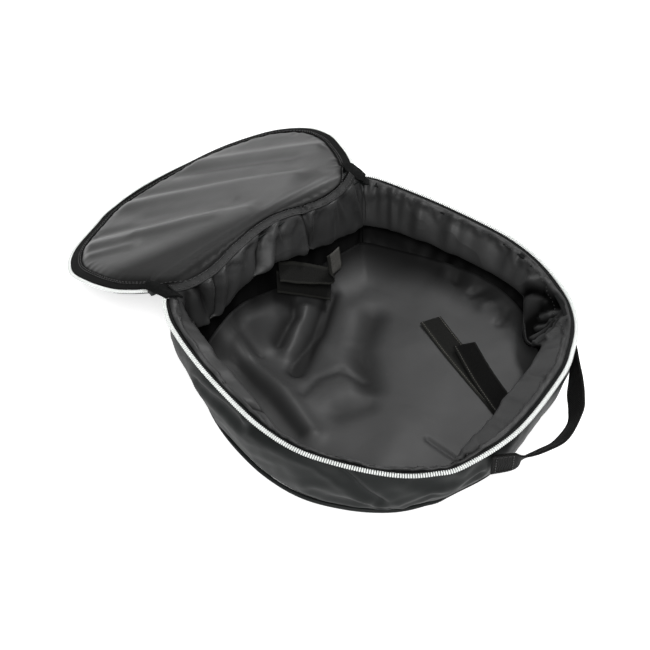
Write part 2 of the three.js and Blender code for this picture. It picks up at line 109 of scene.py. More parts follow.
# Turned edge of the bottom: distance inside it, height
BASE_SECTION = [
    (0, BASE_TURN_UP), (0.8, 8.2), (2.2, 6), (4.4, 3.6), (8, 1.5),
    (12, 0.35), (16, 0), (30, 0), (64, 0), (110, 0),
]

# Side wall: share of its height, distance outside the rim line
WALL_PROFILE = [(0, -6.5), (0.14, -2), (0.36, 1.5), (0.62, 1), (0.85, -3), (1, -8.5)]

# Where the foot of the wall stands in: place on the rim, reach along it, depth
FOOT_TUCKS = [(-80, -155, 76, 17), (45, -156, 60, 15), (-150, 140, 70, 16), (140, 140, 80, 12)]

# Folds of the outer cloth: points along each, width, depth of the groove, height of the ridge beside it
WALL_FOLDS = [
    ([(-168, 88, 58), (-171, 46, 63), (-173, 12, 63)], 5, 3.0, 1.44),
    ([(-172, 4, 70), (-165, -28, 75), (-155, -61, 72), (-147, -88, 58), (-134, -110, 38)], 5.5, 5.0, 2.24),
    ([(-158, -60, 34), (-144, -92, 28), (-128, -118, 22)], 6, 2.6, 1.6),
    ([(-168, 40, 28), (-164, -30, 40)], 10, 2.0, 1.12),
    ([(-130, -110, 24), (-104, -139, 46), (-60, -157, 48)], 3.4, 1.6, 1.76),
    ([(-116, -132, 66), (-90, -148, 58)], 6, 2.4, 1.12),
    ([(172, 60, 66), (180, -10, 44), (170, -64, 40)], 8, 3.0, 1.6),
    ([(168, -60, 66), (140, -110, 36)], 7, 3.0, 1.6),
    ([(60, -160, 32), (112, -132, 60)], 7, 2.6, 1.44),
    ([(150, 130, 70), (168, 70, 40)], 8, 2.6, 1.28),
    ([(-110, 165, 80), (-40, 166, 40), (20, 166, 36), (95, 165, 84)], 9, 3.0, 1.6),
]
RIDGE_GAP = 1.9

# Slack of the outer cloth: rise, stretch up the wall, length of its waves
WALL_SLACK = [(0.9, 1.6, 70), (0.35, 1.4, 24)]
WALL_PUSH = (-7, 3.2)
WALL_EDGE = 0.14
WALL_ROWS = 34

# Inner edge of the padded lining: place on the rim, depth inside it, drop below it
LINING_EDGE = [
    (124, 162, 26, 50), (158, 95, 27, 40), (180, 0, 27, 34), (178, -36, 27, 30), (172, -62, 27, 26),
    (165, -78, 36, 31), (152, -100, 45, 40), (141, -112, 44, 43), (133, -119, 40, 40), (126, -124, 37, 32),
    (119, -129, 34, 22), (106, -137, 31, 13), (61, -155, 35, 12), (13, -164, 36, 12), (-34, -165, 32, 11),
    (-72, -159, 26, 10), (-86, -155, 15, 8), (-125, -127, 16, 7), (-156, -78, 16, 7), (-172, -30, 14, 6),
    (-174, -12, 15, 6), (-175, 10, 22, 7), (-172, 52, 25, 8), (-168, 82, 27, 9), (-160, 122, 29, 11),
    (-148, 148, 30, 18), (-130, 165, 28, 48), (-114, 165, 28, 51), (-96, 165, 27, 45), (-77, 165, 27, 39),
    (-59, 165, 26, 36), (-43, 165, 25, 34), (-20, 165, 22, 36), (15, 165, 23, 44), (47, 165, 26, 46),
    (81, 165, 27, 49), (108, 165, 27, 54),
]
EDGE_SMOOTHING = 12

# Padded roll from its seam: shares of its depth, fall and puff, and what the hollow corner adds to the first two
ROLL_SECTION = [(0, 0, 0, 0, 0), (0.22, 0.10, 0.6, -0.08, 0.30), (0.60, 0.38, 0.5, -0.18, 0.34)]
ROLL_PUFF = 2.4
ROLL_TURN = 0.42
ROLL_END = 0.5

# Face of the roll over its edge: distance back, rise, share of the fall, and what the hollow corner adds to each
ROLL_FACE = (1.2, 2.0, 0.16)
ROLL_FACE_HOLLOW = (8, -2, -0.10)

# Underside of the roll: distance back and drop, then the drop and the furthest back of its root at the wall
ROLL_UNDERSIDE = (3.0, 2.4)
ROLL_ROOT_DROP = 9
ROLL_ROOT_BACK = 18
LOW_SHARE = 0.45

# Foot of the lining: distance inside the wall, height over the floor
LINING_FOOT = [(2, 9.0), (8, 1.0), (16, -2.0)]
LINING_ROWS = 56
ROW_CROWDING = 0.92
SEAM_ROW = 5
FOOT_ROWS = 14

# Seam at the top of the lining: depth inside the rim, sink under it, lap under the hinge strip
SEAM_INSIDE = 6
SEAM_SINK = 1.2
SEAM_LAP = 2

# Stretches of lining that are gathered: place on the rim, reach, count of pleats, depth, width
GATHERS = [
    (-62, 165, 74, 11, 0.9, 7), (50, 165, 78, 12, 0.8, 7), (165, 20, 130, 18, 2.6, 9),
    (40, -160, 90, 12, 0.6, 7), (-110, -138, 70, 14, 1.8, 6), (-170, 40, 120, 14, 1.2, 8),
    (-128, 150, 40, 8, 1.0, 6), (126, 150, 40, 8, 2.0, 6),
]

# How the pleats of a gather vary: place, slant, width, depth, side, share of the section where they end
PLEAT_SHIFT = (-0.4, 0.4)
PLEAT_SLANT = (-16, 16)
PLEAT_WIDTH = (0.55, 1.3)
PLEAT_DEPTH = (0.4, 1.15)
PLEAT_SIDE = (1, 1, -1)
PLEAT_END = (0.3, 0.55)
PLEAT_LIMITS = (-8, 6.5)
PLEAT_START = (0.05, 0.15)
PLEAT_FADE = 0.22
PLEAT_DIP = 0.5
PLEAT_DIP_GAP = 1.5

# Small waves of the lining: puckers at its seam as rise, length, reach, and its swell as rise, length, stretch
SEAM_PUCKER = (0.3, 11, 0.12)
LINING_SWELL = (0.7, 42, 120)

# Slanting folds of the lining under the hinge: x at its seam, x at its lower edge, width, rise
HINGE_FOLDS = [
    (-112, -108, 4, -5.5), (-98, -112, 5, 4), (-88, -104, 4, -2.6), (-78, -98, 5, 3.6), (-44, -84, 12, 2.2),
    (-10, -46, 6, -5), (4, -32, 7, 5), (22, 2, 8, 1.6), (34, 37, 3.2, -7), (44, 28, 6, 4.4), (78, 66, 14, 2.2),
]
HINGE_FOLD_WIDTH = 0.85
HINGE_FOLD_RISE = 1.3
HINGE_FOLD_START = (0.04, 0.2)
HINGE_FOLD_FADE = 0.16

# Corner where the lining is drawn together in a fan: its place on the rim, hollow, pleats and the roll beside it
FAN = (145, -108)
FAN_REACH = 26
FAN_START = 0.06
FAN_HOLLOW = [(141, -108), (132, -91), (113, -80)]
FAN_PLEATS = [
    [(138, -103), (138, -91), (132, -81)], [(137, -104), (131, -93), (124, -83)],
    [(135, -106), (125, -95), (114, -85)], [(131, -108), (115, -102), (103, -95)],
    [(128, -111), (111, -112), (97, -111)],
]
FAN_HOLLOW_WIDTH = 24
FAN_HOLLOW_DEPTH = 1.5
FAN_PLEAT_WIDTH = 2.0
FAN_PLEAT_RISE = 5.5
FAN_ROLL_EDGE = [(145, -50), (145, -76), (139, -99)]
FAN_EDGE_WIDTH = 3
FAN_EDGE_DEPTH = 3
FAN_ROLL_LIP = [(153, -50), (153, -76), (147, -98)]
FAN_LIP_WIDTH = 5
FAN_LIP_RISE = 3.2

# Painted shade on the lining: its darkness under the roll, in the fan, in a millimetre of fold and on the near
# side
UNDER_ROLL_DARK = 0.88
UNDER_ROLL_DAPPLE = 0.1
FAN_DARK = 1.2
FAN_DARKEST = 0.94
FAN_EDGE_DARK = 0.8
FOLD_DARK = 0.12
NEAR_SIDE_DARK = 0.2

# Creases of the padded lining: points along each, width, depth, darkness of the painted shade in it
LINING_CREASES = [
    ([(-163, 19), (-157, 9), (-153, -6)], 2.2, 2.2, 0.75), ([(-163, 15), (-162, -2)], 2.2, 1.6, 0.5),
    ([(-153, -18), (-152, -24)], 2.6, 2.5, 1.0), ([(-88, -144), (-76, -147), (-62, -150)], 4, 3, 0.95),
    ([(47, -139), (40, -146)], 2.2, 1.6, 0.5), ([(-126, 144), (-131, 119), (-142, 78)], 2.4, 1.6, 0.35),
    ([(-119, 170), (-121, 150), (-127, 122)], 4, 3, 0.6),
]
CREASE_FADE = 0.1

# Soft shape of the floor lining: centre, reach along X and Y, rise
FLOOR_DENTS = [
    (-52, 70, 22, 46, -2.6), (4, 30, 26, 60, -2.4), (-92, 52, 24, 38, 2.6), (-22, 74, 16, 44, 2.4),
    (-60, -66, 60, 22, 1.6), (-96, -30, 26, 44, 2),
]

# Folds of the floor lining: points along each, width, rise
FLOOR_FOLDS = [
    ([(9, 144), (-14, 119), (-48, 107)], 8, -5.5), ([(40, 118), (34, 114), (-7, 90), (-61, 67)], 9, -7.5),
    ([(49, 63), (7, 41), (-24, -1)], 16, -4.6), ([(-80, 140), (-74, 106)], 5, -3),
    ([(-97, 120), (-106, 50), (-115, 6)], 9, -4.2), ([(-80, 38), (-54, 43), (-32, 34), (-27, 10)], 6, -2.2),
    ([(-71, -4), (-45, -16)], 14, -3.2), ([(-62, 129), (-35, 122)], 14, 7), ([(3, 117), (-49, 91)], 8, 5),
    ([(36, 85), (9, 57)], 20, 3.6), ([(-52, 18), (-46, 13)], 24, 5.4),
    ([(-86, 143), (-93, 54), (-110, -3)], 11, 6), ([(-38, -84), (-37, -118)], 2.6, -1.8),
    ([(110, 40), (70, -6)], 22, 2), ([(-40, -50), (-90, -80)], 20, 1.8),
    ([(158, 114), (141, 94)], 6, -3.2), ([(162, 98), (145, 78)], 6, 3.2), ([(164, 80), (147, 56)], 5, -3.2),
    ([(164, 60), (146, 44)], 6, 3.2), ([(166, 38), (144, 30)], 5, -3), ([(166, 18), (146, 12)], 6, 3),
    ([(162, -6), (142, 8)], 5, -3), ([(156, -22), (138, -12)], 6, 3), ([(150, -36), (132, -38)], 5, -2.6),
]
FLOOR_INSET = 10.5
FLOOR_SMOOTHING = 14
FLOOR_ROWS = 70
FLOOR_LIMITS = (-6, 9)

# Slack of the floor lining: rise, length of its waves
FLOOR_SLACK = [(0.5, 70), (0.06, 22)]

# Places where straps press the floor lining flat
STRAP_BEDS = [[(40, -120), (88, 20)], [(45, -110), (82, -30)]]
STRAP_BED_WIDTH = 20
STRAP_BED_PRESS = 0.85

# Floor lining running up the wall: rise, width, and where by the hinge it runs higher as x, reach, rise
FLOOR_CLIMB = 22
FLOOR_CLIMB_WIDTH = 55
FLOOR_CLIMB_HIGH = (-66, 46, 18)
FLOOR_HEM = 16
FLOOR_HEM_DROP = 0.6

# Painted shade on the floor lining: its darkness in a millimetre of fold, what shallow folds lack, the most, and
# along the wall
FLOOR_FOLD_DARK = 0.17
FLOOR_FOLD_FREE = 0.12
FLOOR_FOLD_DARKEST = 0.72
FLOOR_WALL_DARK = 0.85

# Side of the floor away from the light: share all round, toward +X, toward +Y, and how far its painted shade
# reaches
DARK_SIDE = (0.25, 0.55, 0.9)
DARK_REACH = 34
DARK_REACH_HINGE = 20

# Streaks of the lid's lining: points along each, width, rise
LID_FOLDS = [
    ([(-108, 339), (-51, 268), (5, 209)], 15, 4.2), ([(-88, 356), (24, 230)], 11, -2.52),
    ([(-23, 383), (32, 302), (83, 223)], 16, 4.48), ([(2, 390), (106, 236)], 12, -2.8),
    ([(83, 385), (121, 315), (155, 257)], 14, 3.64), ([(54, 388), (124, 262)], 10, -2.24),
    ([(-72, 300), (-18, 234)], 10, 1.96), ([(-124, 318), (-92, 282)], 8, 1.96),
    ([(-40, 330), (20, 252)], 12, -2.52), ([(20, 200), (104, 190)], 13, -2.8),
]
LID_ROWS = 52

# Border of the lid's lining at the hinge: reach of its turn at the left and right end, smoothing
BORDER_TURN = (26, 44)
BORDER_SMOOTHING = 10

# Rise of the lid's lining over the lid: share of its breadth, rise
LID_CROWN = [(0.03, 2.6), (0.9, 2.2), (0.965, 1.4), (0.985, 0.2), (1, -1.2)]

# Painted shade where the lid's lining turns up to the hinge: the line where it goes darker, the breadth of that
# painted shade, its darkness
LID_SHADE_LINE = [(-134, 256), (-72, 229), (-10, 203), (57, 173), (110, 142)]
LID_SHADE_BREADTH = 44
LID_SHADE_DARK = 0.68
# Darkness of the painted shadow along the edge of the lid's lining
LID_EDGE_SHADOW = 0.85

# Outer panel of the lid: depth inside its edge, share of its breadth, height
LID_SHELL_EDGE = [
    (3.0, 1, -1.4), (1.6, 1, -2.6), (1.2, 1, -4.4), (1.8, 1, -6.2),
    (3.4, 1, -7.4), (7, 1, -8.2), (14, 0.985, -9.0),
]
LID_SHELL_DEPTH = 9.5
LID_SHELL_ROWS = 30
LID_SHELL_LOWEST = 0.3

# Folded places across the hinge: across the fold, height over the rim
HINGE_SECTION = [(-26, -13), (-18, -6), (-12, -2.4), (-4, -0.2), (4, -0.2), (12, -3)]
HINGE_ENDS = (-131, 122)
STRIP_FALL = 2.4
STRIP_RISE = 0.6
STRIP_WIDTH = 9
STRIP_CREST = 0.8
STRIP_ROWS = 22
STRIP_COLUMNS = 130

# Slack of the hinge strip: rise, stretch across it, length of its waves. Its two puckers: x, slant, width, rise
STRIP_SLACK = [(0.4, 4, 15), (0.25, 6, 7)]
STRIP_PUCKERS = [(34, 6, 3.0, -2.2), (41, 4, 3.4, 1.4)]
STRIP_LIMITS = (-3.5, 2.2)

# Darkness of the hinge strip: all over, a painted shadow along its seam with the lid, from what share of its
# breadth
STRIP_DARK = 0.45
STRIP_SEAM_SHADOW = 0.52
STRIP_LID_FROM = 0.72

# Seam where the lid's lining meets the hinge strip: x, y
LID_SEAM = [
    (-140, 172), (-122, 160), (-95, 155), (-49, 162), (-9, 167),
    (14, 165), (37, 158), (73, 155), (105, 162), (134, 178),
]

# Straps inside: x, y, height over the floor, turn in degrees
STRAPS = {
    "strap_long": [(40, -117, 0, 19), (45, -102, 0, 19), (58, -62, 0, 19), (72, -20, 0.4, 19), (85, 16, 2, 19)],
    "strap_short": [(41, -115, 2.4, 21), (46, -102, 2.6, 21), (60, -70, 3.4, 21), (78, -34, 6, 21)],
    "strap_under": [(-8, 150, 30, 0), (2, 144, 26, 0), (14, 137, 20, 8), (26, 128, 13, 18), (38, 116, 8, 25)],
    "strap_folded": [
        (-6, 148, 44, 0), (4, 141.6, 41, 0), (16, 135, 36, 8), (30, 127, 30, 20), (41, 118, 27, 22),
        (46, 116, 32, 16), (47.5, 119, 43, 16), (48.5, 122, 54, 16),
    ],
}
STRAP_REST = 0.4
FACE_COLUMNS = 14
SELVEDGE_COLUMNS = 3
STRAP_COLUMNS = 2 * FACE_COLUMNS
PALE_PILE_FROM = 0.7

# Carry handle: sewn ends as x, y, z and distance off the wall, then x, y, z and the direction across the webbing
HANDLE_NEAR = (-52, -163, 57, 2.1)
HANDLE_FAR = (106, -137, 57, 2.6)
HANDLE_LOOP = [
    (-37, -174, 58, -0.15, 0, 0.98), (-28, -179, 60, -0.37, -0.41, 0.83), (-12, -186, 62, -0.27, -0.55, 0.79),
    (6, -190.5, 63, -0.1, -0.55, 0.82), (36, -185, 62, 0.2, -0.33, 0.92), (53, -175.5, 61, 0.27, -0.28, 0.92),
    (70, -163, 59, 0.3, -0.26, 0.92), (87, -151, 57.5, 0.14, -0.14, 0.98),
]

random = np.random.default_rng(7)
RIPPLE_WAVES = 7


# Camera at the photograph's place
def stand(name, data, place, direction):
    """Puts a camera or lamp at a place in metres, looking in a direction."""
    holder = bpy.data.objects.new(name, data)
    holder.location = place
    holder.rotation_mode = "QUATERNION"
    holder.rotation_quaternion = Vector(direction).to_track_quat("-Z", "Y")
    bpy.context.scene.collection.objects.link(holder)
    return holder


CAMERA_PLACE = (-503.43, -410.36, 701.72)
CAMERA_AIM = (0.510637, 0.504494, -0.696230)
camera_data = bpy.data.cameras.new("camera")
camera_data.sensor_fit = "HORIZONTAL"
camera_data.sensor_width = 36
camera_data.lens = 52.77
camera_data.clip_start = 0.01
bpy.context.scene.camera = stand("camera", camera_data, Vector(CAMERA_PLACE) * MM, CAMERA_AIM)


# Lines and outlines
def unit(v):
    return v / np.maximum(np.linalg.norm(v, axis=-1, keepdims=True), 1e-9)


def square_to(v, along):
    """Unit directions made square to others."""
    return unit(v - along * (v * along).sum(1, keepdims=True))


def bell(distance, reach):
    return np.exp(-((distance / reach) ** 2))


def fade(distance, over, least=0):
    """Share that grows with a distance and is whole beyond it."""
    return np.clip(distance / over, least, 1)


def gently(share):
    share = np.clip(share, 0, 1)
    return share**2 * (3 - 2 * share)


def steps_of(points, axis=0):
    """Lengths of the steps between neighbours in a line or grid of points."""
    return np.linalg.norm(np.diff(points, axis=axis), axis=-1)


def running(steps):
    """Length run so far at every point."""
    return np.concatenate([[0], np.cumsum(steps)])


def sampled(values, run, at):
    """Rows of values read at places along their run."""
    return np.stack([np.interp(at, run, column) for column in np.transpose(values)], 1)


def through(points, shares):
    """Smooth line through points, at shares of its list of points from 0 to 1."""
    points = np.asarray(points, float)
    ends = np.vstack([2 * points[0] - points[1], points, 2 * points[-1] - points[-2]])
    place = np.clip(np.asarray(shares, float), 0, 1) * (len(points) - 1)
    first = np.minimum(place.astype(int), len(points) - 2)
    t = (place - first)[:, None]
    a, b, c, d = (ends[first + k] for k in range(4))
    return 0.5 * (2 * b + (c - a) * t + (2 * a - 5 * b + 4 * c - d) * t**2 + (3 * b - a - 3 * c + d) * t**3)


def evenly(points, count):
    """The smooth line through points, cut into equal steps."""
    dense = through(points, np.linspace(0, 1, 60 * len(points)))
    run = running(steps_of(dense))
    return sampled(dense, run, np.linspace(0, run[-1], count + 1))


def length_of(points):
    return float(steps_of(evenly(points, 200)).sum())


def soften(values, reach):
    """Values at the stations of a closed edge, smoothed over a reach along it."""
    spread = round(reach / STATION)
    steps = range(-2 * spread, 2 * spread + 1)
    return sum(np.roll(values, k, -1) * bell(k, spread) for k in steps) / sum(bell(k, spread) for k in steps)


def eased(rows, at):
    """Smooth curve through rows of (place, value), level beyond its ends."""
    x, y = np.array(rows, float).T
    slope = np.gradient(y, x)
    k = np.clip(np.searchsorted(x, at) - 1, 0, len(x) - 2)
    step = x[k + 1] - x[k]
    t = np.clip((at - x[k]) / step, 0, 1)
    near = (1 + 2 * t) * (1 - t) ** 2 * y[k] + t * (1 - t) ** 2 * step * slope[k]
    return near + t**2 * (3 - 2 * t) * y[k + 1] + t**2 * (t - 1) * step * slope[k + 1]


class Outline:
    """A closed edge: its zipped run first, then its hinge, as evenly spaced stations with outward directions."""

    def __init__(self, zipped, hinge):
        self.zip_end = round(length_of(zipped) / STATION)
        hinge_count = round(length_of(hinge) / STATION)
        self.spot = np.vstack([evenly(zipped, self.zip_end), evenly(hinge, hinge_count)[1:-1]])
        self.count = len(self.spot)
        self.zipped = np.arange(self.count) <= self.zip_end
        along = np.roll(self.spot, -1, 0) - np.roll(self.spot, 1, 0)
        out = unit(np.stack([-along[:, 1], along[:, 0]], 1))
        self.out = unit(soften(out.T, NORMAL_SMOOTHING).T)
        step = np.linalg.norm(np.roll(self.spot, -1, 0) - self.spot, axis=1)
        self.run = running(step)[:-1]
        self.total = float(step.sum())

    def off(self, out, z):
        """Points a distance outside the edge, at a height."""
        flat = self.spot[:, :2] + self.out * np.reshape(out, (-1, 1))
        return np.column_stack([flat, np.broadcast_to(z, self.count)])

    def inside(self, depth, z):
        """Points a depth inside the edge: square to it at first, then toward the middle."""
        depth = np.broadcast_to(depth, self.count)
        square = np.minimum(depth, INSET_SQUARE)
        p = self.off(-square, z)
        shrink = 1 - (depth - square) / np.hypot(p[:, 0], p[:, 1])
        p[:, :2] *= shrink[:, None]
        return p

    def distance(self, x, y):
        return np.hypot(self.spot[:, 0] - x, self.spot[:, 1] - y)

    def run_at(self, x, y):
        return self.run[np.argmin(self.distance(x, y))]

    def apart(self, run):
        """Signed distance of every station from a place on the run, the short way round."""
        return (self.run - run + self.total / 2) % self.total - self.total / 2


def rim_height(x, y):
    return RIM_HEIGHT + RIM_RISE * y / HINGE_Y - RIM_SAG * (x / RIM_HALF_WIDTH) ** 2


def on_rim(x, y):
    return (x, y, rim_height(x, y))


def lid_height(x, y):
    """Height of the zipped edge of the lid and of the crown between its edges."""
    out = np.asarray(y, float) - HINGE_Y
    places, *columns = np.array(LID_PLAN, float).T
    half, lean, left, right, crown = (np.interp(out, places, column) for column in columns)
    side = np.clip((x - lean) / half, -1, 1)
    return left + (right - left) * (side + 1) / 2 + crown * (1 - side**2)


def on_lid(x, out):
    return (x, HINGE_Y + out, float(lid_height(x, HINGE_Y + out)))


far_side = [on_rim(lean + half, y) for y, half, lean in TUB_PLAN]
near_side = [on_rim(lean - half, y) for y, half, lean in reversed(TUB_PLAN)]
hinge_line = [on_rim(x, HINGE_Y) for x in np.linspace(*TUB_HINGE, 5)]
rim = Outline([*far_side, on_rim(*TUB_TIP), *near_side], [near_side[-1], *hinge_line, far_side[0]])

lid_far = [on_lid(row[2] + row[1], row[0]) for row in reversed(LID_PLAN)]
lid_near = [on_lid(row[2] - row[1], row[0]) for row in LID_PLAN]
lid_line = [on_lid(x, LID_HINGE[2]) for x in np.linspace(LID_HINGE[1], LID_HINGE[0], 5)]
lid = Outline([*lid_near, on_lid(*LID_TIP), *lid_far], [lid_far[-1], *lid_line, lid_near[0]])

tuck = sum(depth * bell(rim.distance(x, y), reach) for x, y, reach, depth in FOOT_TUCKS)


def hinge_height(x, y):
    return rim_height(x, HINGE_Y) + eased(HINGE_SECTION, np.asarray(y, float) - HINGE_Y)


def seam_y(x):
    return eased(LID_SEAM, x)


def wall_height(up):
    return WALL_FOOT + (rim.spot[:, 2] - SEAM_DROP - WALL_FOOT) * up


def wall_share(z):
    """Share of the wall's height at a height over the ground, for every station."""
    return (z - wall_height(0)) / (wall_height(1) - wall_height(0))


def wall_out(up):
    """Distance of the wall outside the rim line at a share of its height."""
    up = np.broadcast_to(up, rim.count)
    return eased(WALL_PROFILE, up) - tuck * (1 - up) ** TUCK_FADE


def wall_inside(z):
    """Depth inside the rim that keeps clear of the outer wall at a height."""
    return WALL_CLEARANCE - wall_out(np.clip(wall_share(z), 0, 1))


# Cloth surfaces as grids of points
def facing(points):
    """Unit normals of a closed grid of points."""
    columns = (np.roll(points, -1, 1) - np.roll(points, 1, 1)) / 2
    return unit(np.cross(columns, np.gradient(points, axis=0)))


def ripple(a, b, wave):
    """Irregular soft waves over two lengths, between about -1 and 1."""
    total = 0
    for _ in range(RIPPLE_WAVES):
        turn, phase = random.uniform(0, 2 * math.pi, 2)
        size = wave * random.uniform(0.6, 1.7)
        total = total + np.sin(2 * math.pi * (a * math.cos(turn) + b * math.sin(turn)) / size + phase)
    return total / math.sqrt(2 * RIPPLE_WAVES)


def gap_to(points, line):
    """Distance of every point from a line of several points."""
    line = np.asarray(line, float)
    gaps = []
    for start, end in zip(line[:-1], line[1:]):
        run = end - start
        t = np.clip(((points - start) @ run) / (run @ run), 0, 1)
        gaps.append(np.linalg.norm(points - (start + t[..., None] * run), axis=-1))
    return np.min(gaps, axis=0)


def round_again(points, closed):
    """A grid of points with its first column added at its end if it is closed."""
    return np.concatenate([points, points[:, :1]], 1) if closed else points


def new_piece(name, vertices, faces, coordinates=None):
    mesh = bpy.data.meshes.new(name)
    mesh.from_pydata((np.asarray(vertices) * MM).tolist(), [], faces)
    mesh.polygons.foreach_set("use_smooth", [True] * len(mesh.polygons))
    if coordinates is not None:
        layer = mesh.uv_layers.new(name="cloth")
        layer.data.foreach_set("uv", np.asarray(coordinates, np.float32).ravel())
    mesh.update()
    piece = bpy.data.objects.new(name, mesh)
    bpy.context.scene.collection.objects.link(piece)
    return piece


def cloth_grid(name, points, closed=False, cap=False, ends=False, flip=False):
    """Piece from a grid of points. Its coordinates are lengths along the cloth, in metres."""
    rows, columns = points.shape[:2]
    vertices = points.reshape(-1, 3)
    v = running(steps_of(points).mean(1)) * MM
    u = running(steps_of(round_again(points, closed), 1).mean(0)) * MM
    polygons = []
    for r in range(rows - 1):
        for c in range(columns if closed else columns - 1):
            n = (c + 1) % columns
            corners = [(r, c, c), (r, n, c + 1), (r + 1, n, c + 1), (r + 1, c, c)]
            polygons.append([(i * columns + j, u[k], v[i]) for i, j, k in corners])
    if cap:
        middle = points[-1].mean(0)
        vertices = np.vstack([vertices, middle])
        hub, base = rows * columns, (rows - 1) * columns
        reach = np.linalg.norm(points[-1] - middle, axis=1).mean() * MM
        for c in range(columns):
            edge = [(base + c, u[c], v[-1]), (base + (c + 1) % columns, u[c + 1], v[-1])]
            polygons.append([*edge, (hub, u[c], v[-1] + reach)])
    if ends:
        for row, turn in ((0, -1), (rows - 1, 1)):
            polygons.append([(row * columns + c, 0, v[row]) for c in range(columns)][::turn])
    if flip:
        polygons = [polygon[::-1] for polygon in polygons]
    faces = [[index for index, _, _ in polygon] for polygon in polygons]
    return new_piece(name, vertices, faces, [place for polygon in polygons for _, *place in polygon])


def points_of(piece):
    """A piece's points in millimetres."""
    return np.array([v.co for v in piece.data.vertices]) / MM


def flat_coordinates(piece):
    """Coordinates of a nearly level cloth, straight across it in metres."""
    mesh = piece.data
    layer = mesh.uv_layers[0].data
    for corner in mesh.loops:
        layer[corner.index].uv = mesh.vertices[corner.vertex_index].co[:2]


def thicken(piece, thickness):
    solid = piece.modifiers.new("thickness", "SOLIDIFY")
    solid.thickness = thickness * MM
    solid.offset = -1
    solid.use_even_offset = False


def mark(piece, name, values):
    """Marks the points of a piece's grid with values that its finish reads. The middle of a cap gets none."""
    marks = np.zeros(len(piece.data.vertices))
    marks[: np.size(values)] = np.ravel(values)
    piece.data.attributes.new(name, "FLOAT", "POINT").data.foreach_set("value", marks)


CLOTH_RULES = {
    "quality": 5, "mass": 0.25, "tension_stiffness": 12, "compression_stiffness": 12, "shear_stiffness": 6,
    "bending_stiffness": 0.12, "air_damping": 4, "vertex_group_mass": "seams", "pin_stiffness": 1,
    "use_pressure": True,
}
CLOTH_GRAVITY = 0.15


def settle(piece, held, spare, pressure, frames, cap):
    """Lets sewn cloth with some spare length settle over its padding, and caps how far it may move."""
    rest = np.empty(len(piece.data.vertices) * 3)
    piece.data.vertices.foreach_get("co", rest)
    rest = rest.reshape(-1, 3)
    group = piece.vertex_groups.new(name="seams")
    for index, weight in enumerate(held):
        if weight > 0:
            group.add([index], float(weight), "REPLACE")
    cloth = piece.modifiers.new("cloth", "CLOTH")
    for key, value in CLOTH_RULES.items():
        setattr(cloth.settings, key, value)
    cloth.settings.shrink_min = -spare
    cloth.settings.uniform_pressure_force = pressure
    cloth.settings.effector_weights.gravity = CLOTH_GRAVITY
    cloth.collision_settings.use_collision = False
    cloth.collision_settings.use_self_collision = False
    cloth.point_cache.frame_start = 1
    cloth.point_cache.frame_end = frames
    scene = bpy.context.scene
    for number in range(1, frames + 1):
        scene.frame_set(number)
    shaped = piece.evaluated_get(bpy.context.evaluated_depsgraph_get()).to_mesh()
    moved = np.empty(len(shaped.vertices) * 3)
    shaped.vertices.foreach_get("co", moved)
    move = moved.reshape(-1, 3) - rest
    size = np.linalg.norm(move, axis=1, keepdims=True)
    move *= np.minimum(1, cap * MM / np.maximum(size, 1e-9))
    piece.modifiers.remove(cloth)
    scene.frame_set(1)
    piece.data.vertices.foreach_set("co", (rest + move).ravel())
    piece.data.update()


def scatter(name, template, places, along, side, up):
    """Piece made of the same small shape at many places, each turned to its own three directions."""
    shape, shape_faces = template
    shape = np.asarray(shape, float)
    points = places[:, None]
    for axis, direction in enumerate((along, side, up)):
        points = points + shape[None, :, axis, None] * direction[:, None]
    size = len(shape)
    faces = [[k * size + i for i in face] for k in range(len(places)) for face in shape_faces]
    lengths = np.tile(shape[:, :2] * MM, (len(places), 1))
    coordinates = [lengths[i] for face in faces for i in face]
    return new_piece(name, points.reshape(-1, 3), faces, coordinates)


def bead(length, width, height, sides=8):
    """Small rounded bar, along its first axis."""
    rings = ((-0.5, 0.5), (-0.36, 0.92), (0.36, 0.92), (0.5, 0.5))
    turns = np.linspace(0, 2 * math.pi, sides, endpoint=False)
    shape = [
        (at * length, swell * width / 2 * math.cos(t), swell * height / 2 * math.sin(t))
        for at, swell in rings
        for t in turns
    ]
    faces = []
    for ring in range(len(rings) - 1):
        for step in range(sides):
            n = (step + 1) % sides
            low, high = ring * sides, (ring + 1) * sides
            faces.append([low + step, low + n, high + n, high + step])
    faces.append(list(range(sides))[::-1])
    faces.append([(len(rings) - 1) * sides + step for step in range(sides)])
    return shape, faces


STITCH_LOOK = 0.8
STITCH_FLATNESS = 0.8
STITCH_PROUD = 0.2


def stitches(name, path, normal, length, gap, thick):
    """Row of stitches on a path that lies on the cloth."""
    run = running(steps_of(path))
    count = max(2, int(run[-1] / (length + gap)))
    middle = (np.arange(count) + 0.5) * run[-1] / count
    along = unit(sampled(path, run, middle + STITCH_LOOK) - sampled(path, run, middle - STITCH_LOOK))
    up = square_to(sampled(np.broadcast_to(normal, np.shape(path)), run, middle), along)
    shape = bead(length, thick, thick * STITCH_FLATNESS, 6)
    places = sampled(path, run, middle) + up * thick * STITCH_PROUD
    return scatter(name, shape, places, along, np.cross(up, along), up)


# Section of tape and webbing: selvedge as distance from the edge and share of the thickness, then the body
SELVEDGE_SECTION = [(0, 0), (0.4, 1), (2.2, 1), (2.8, 0.78)]
BODY_FULL = 0.78
BODY_INSET = 5
BODY_COLUMNS = 7


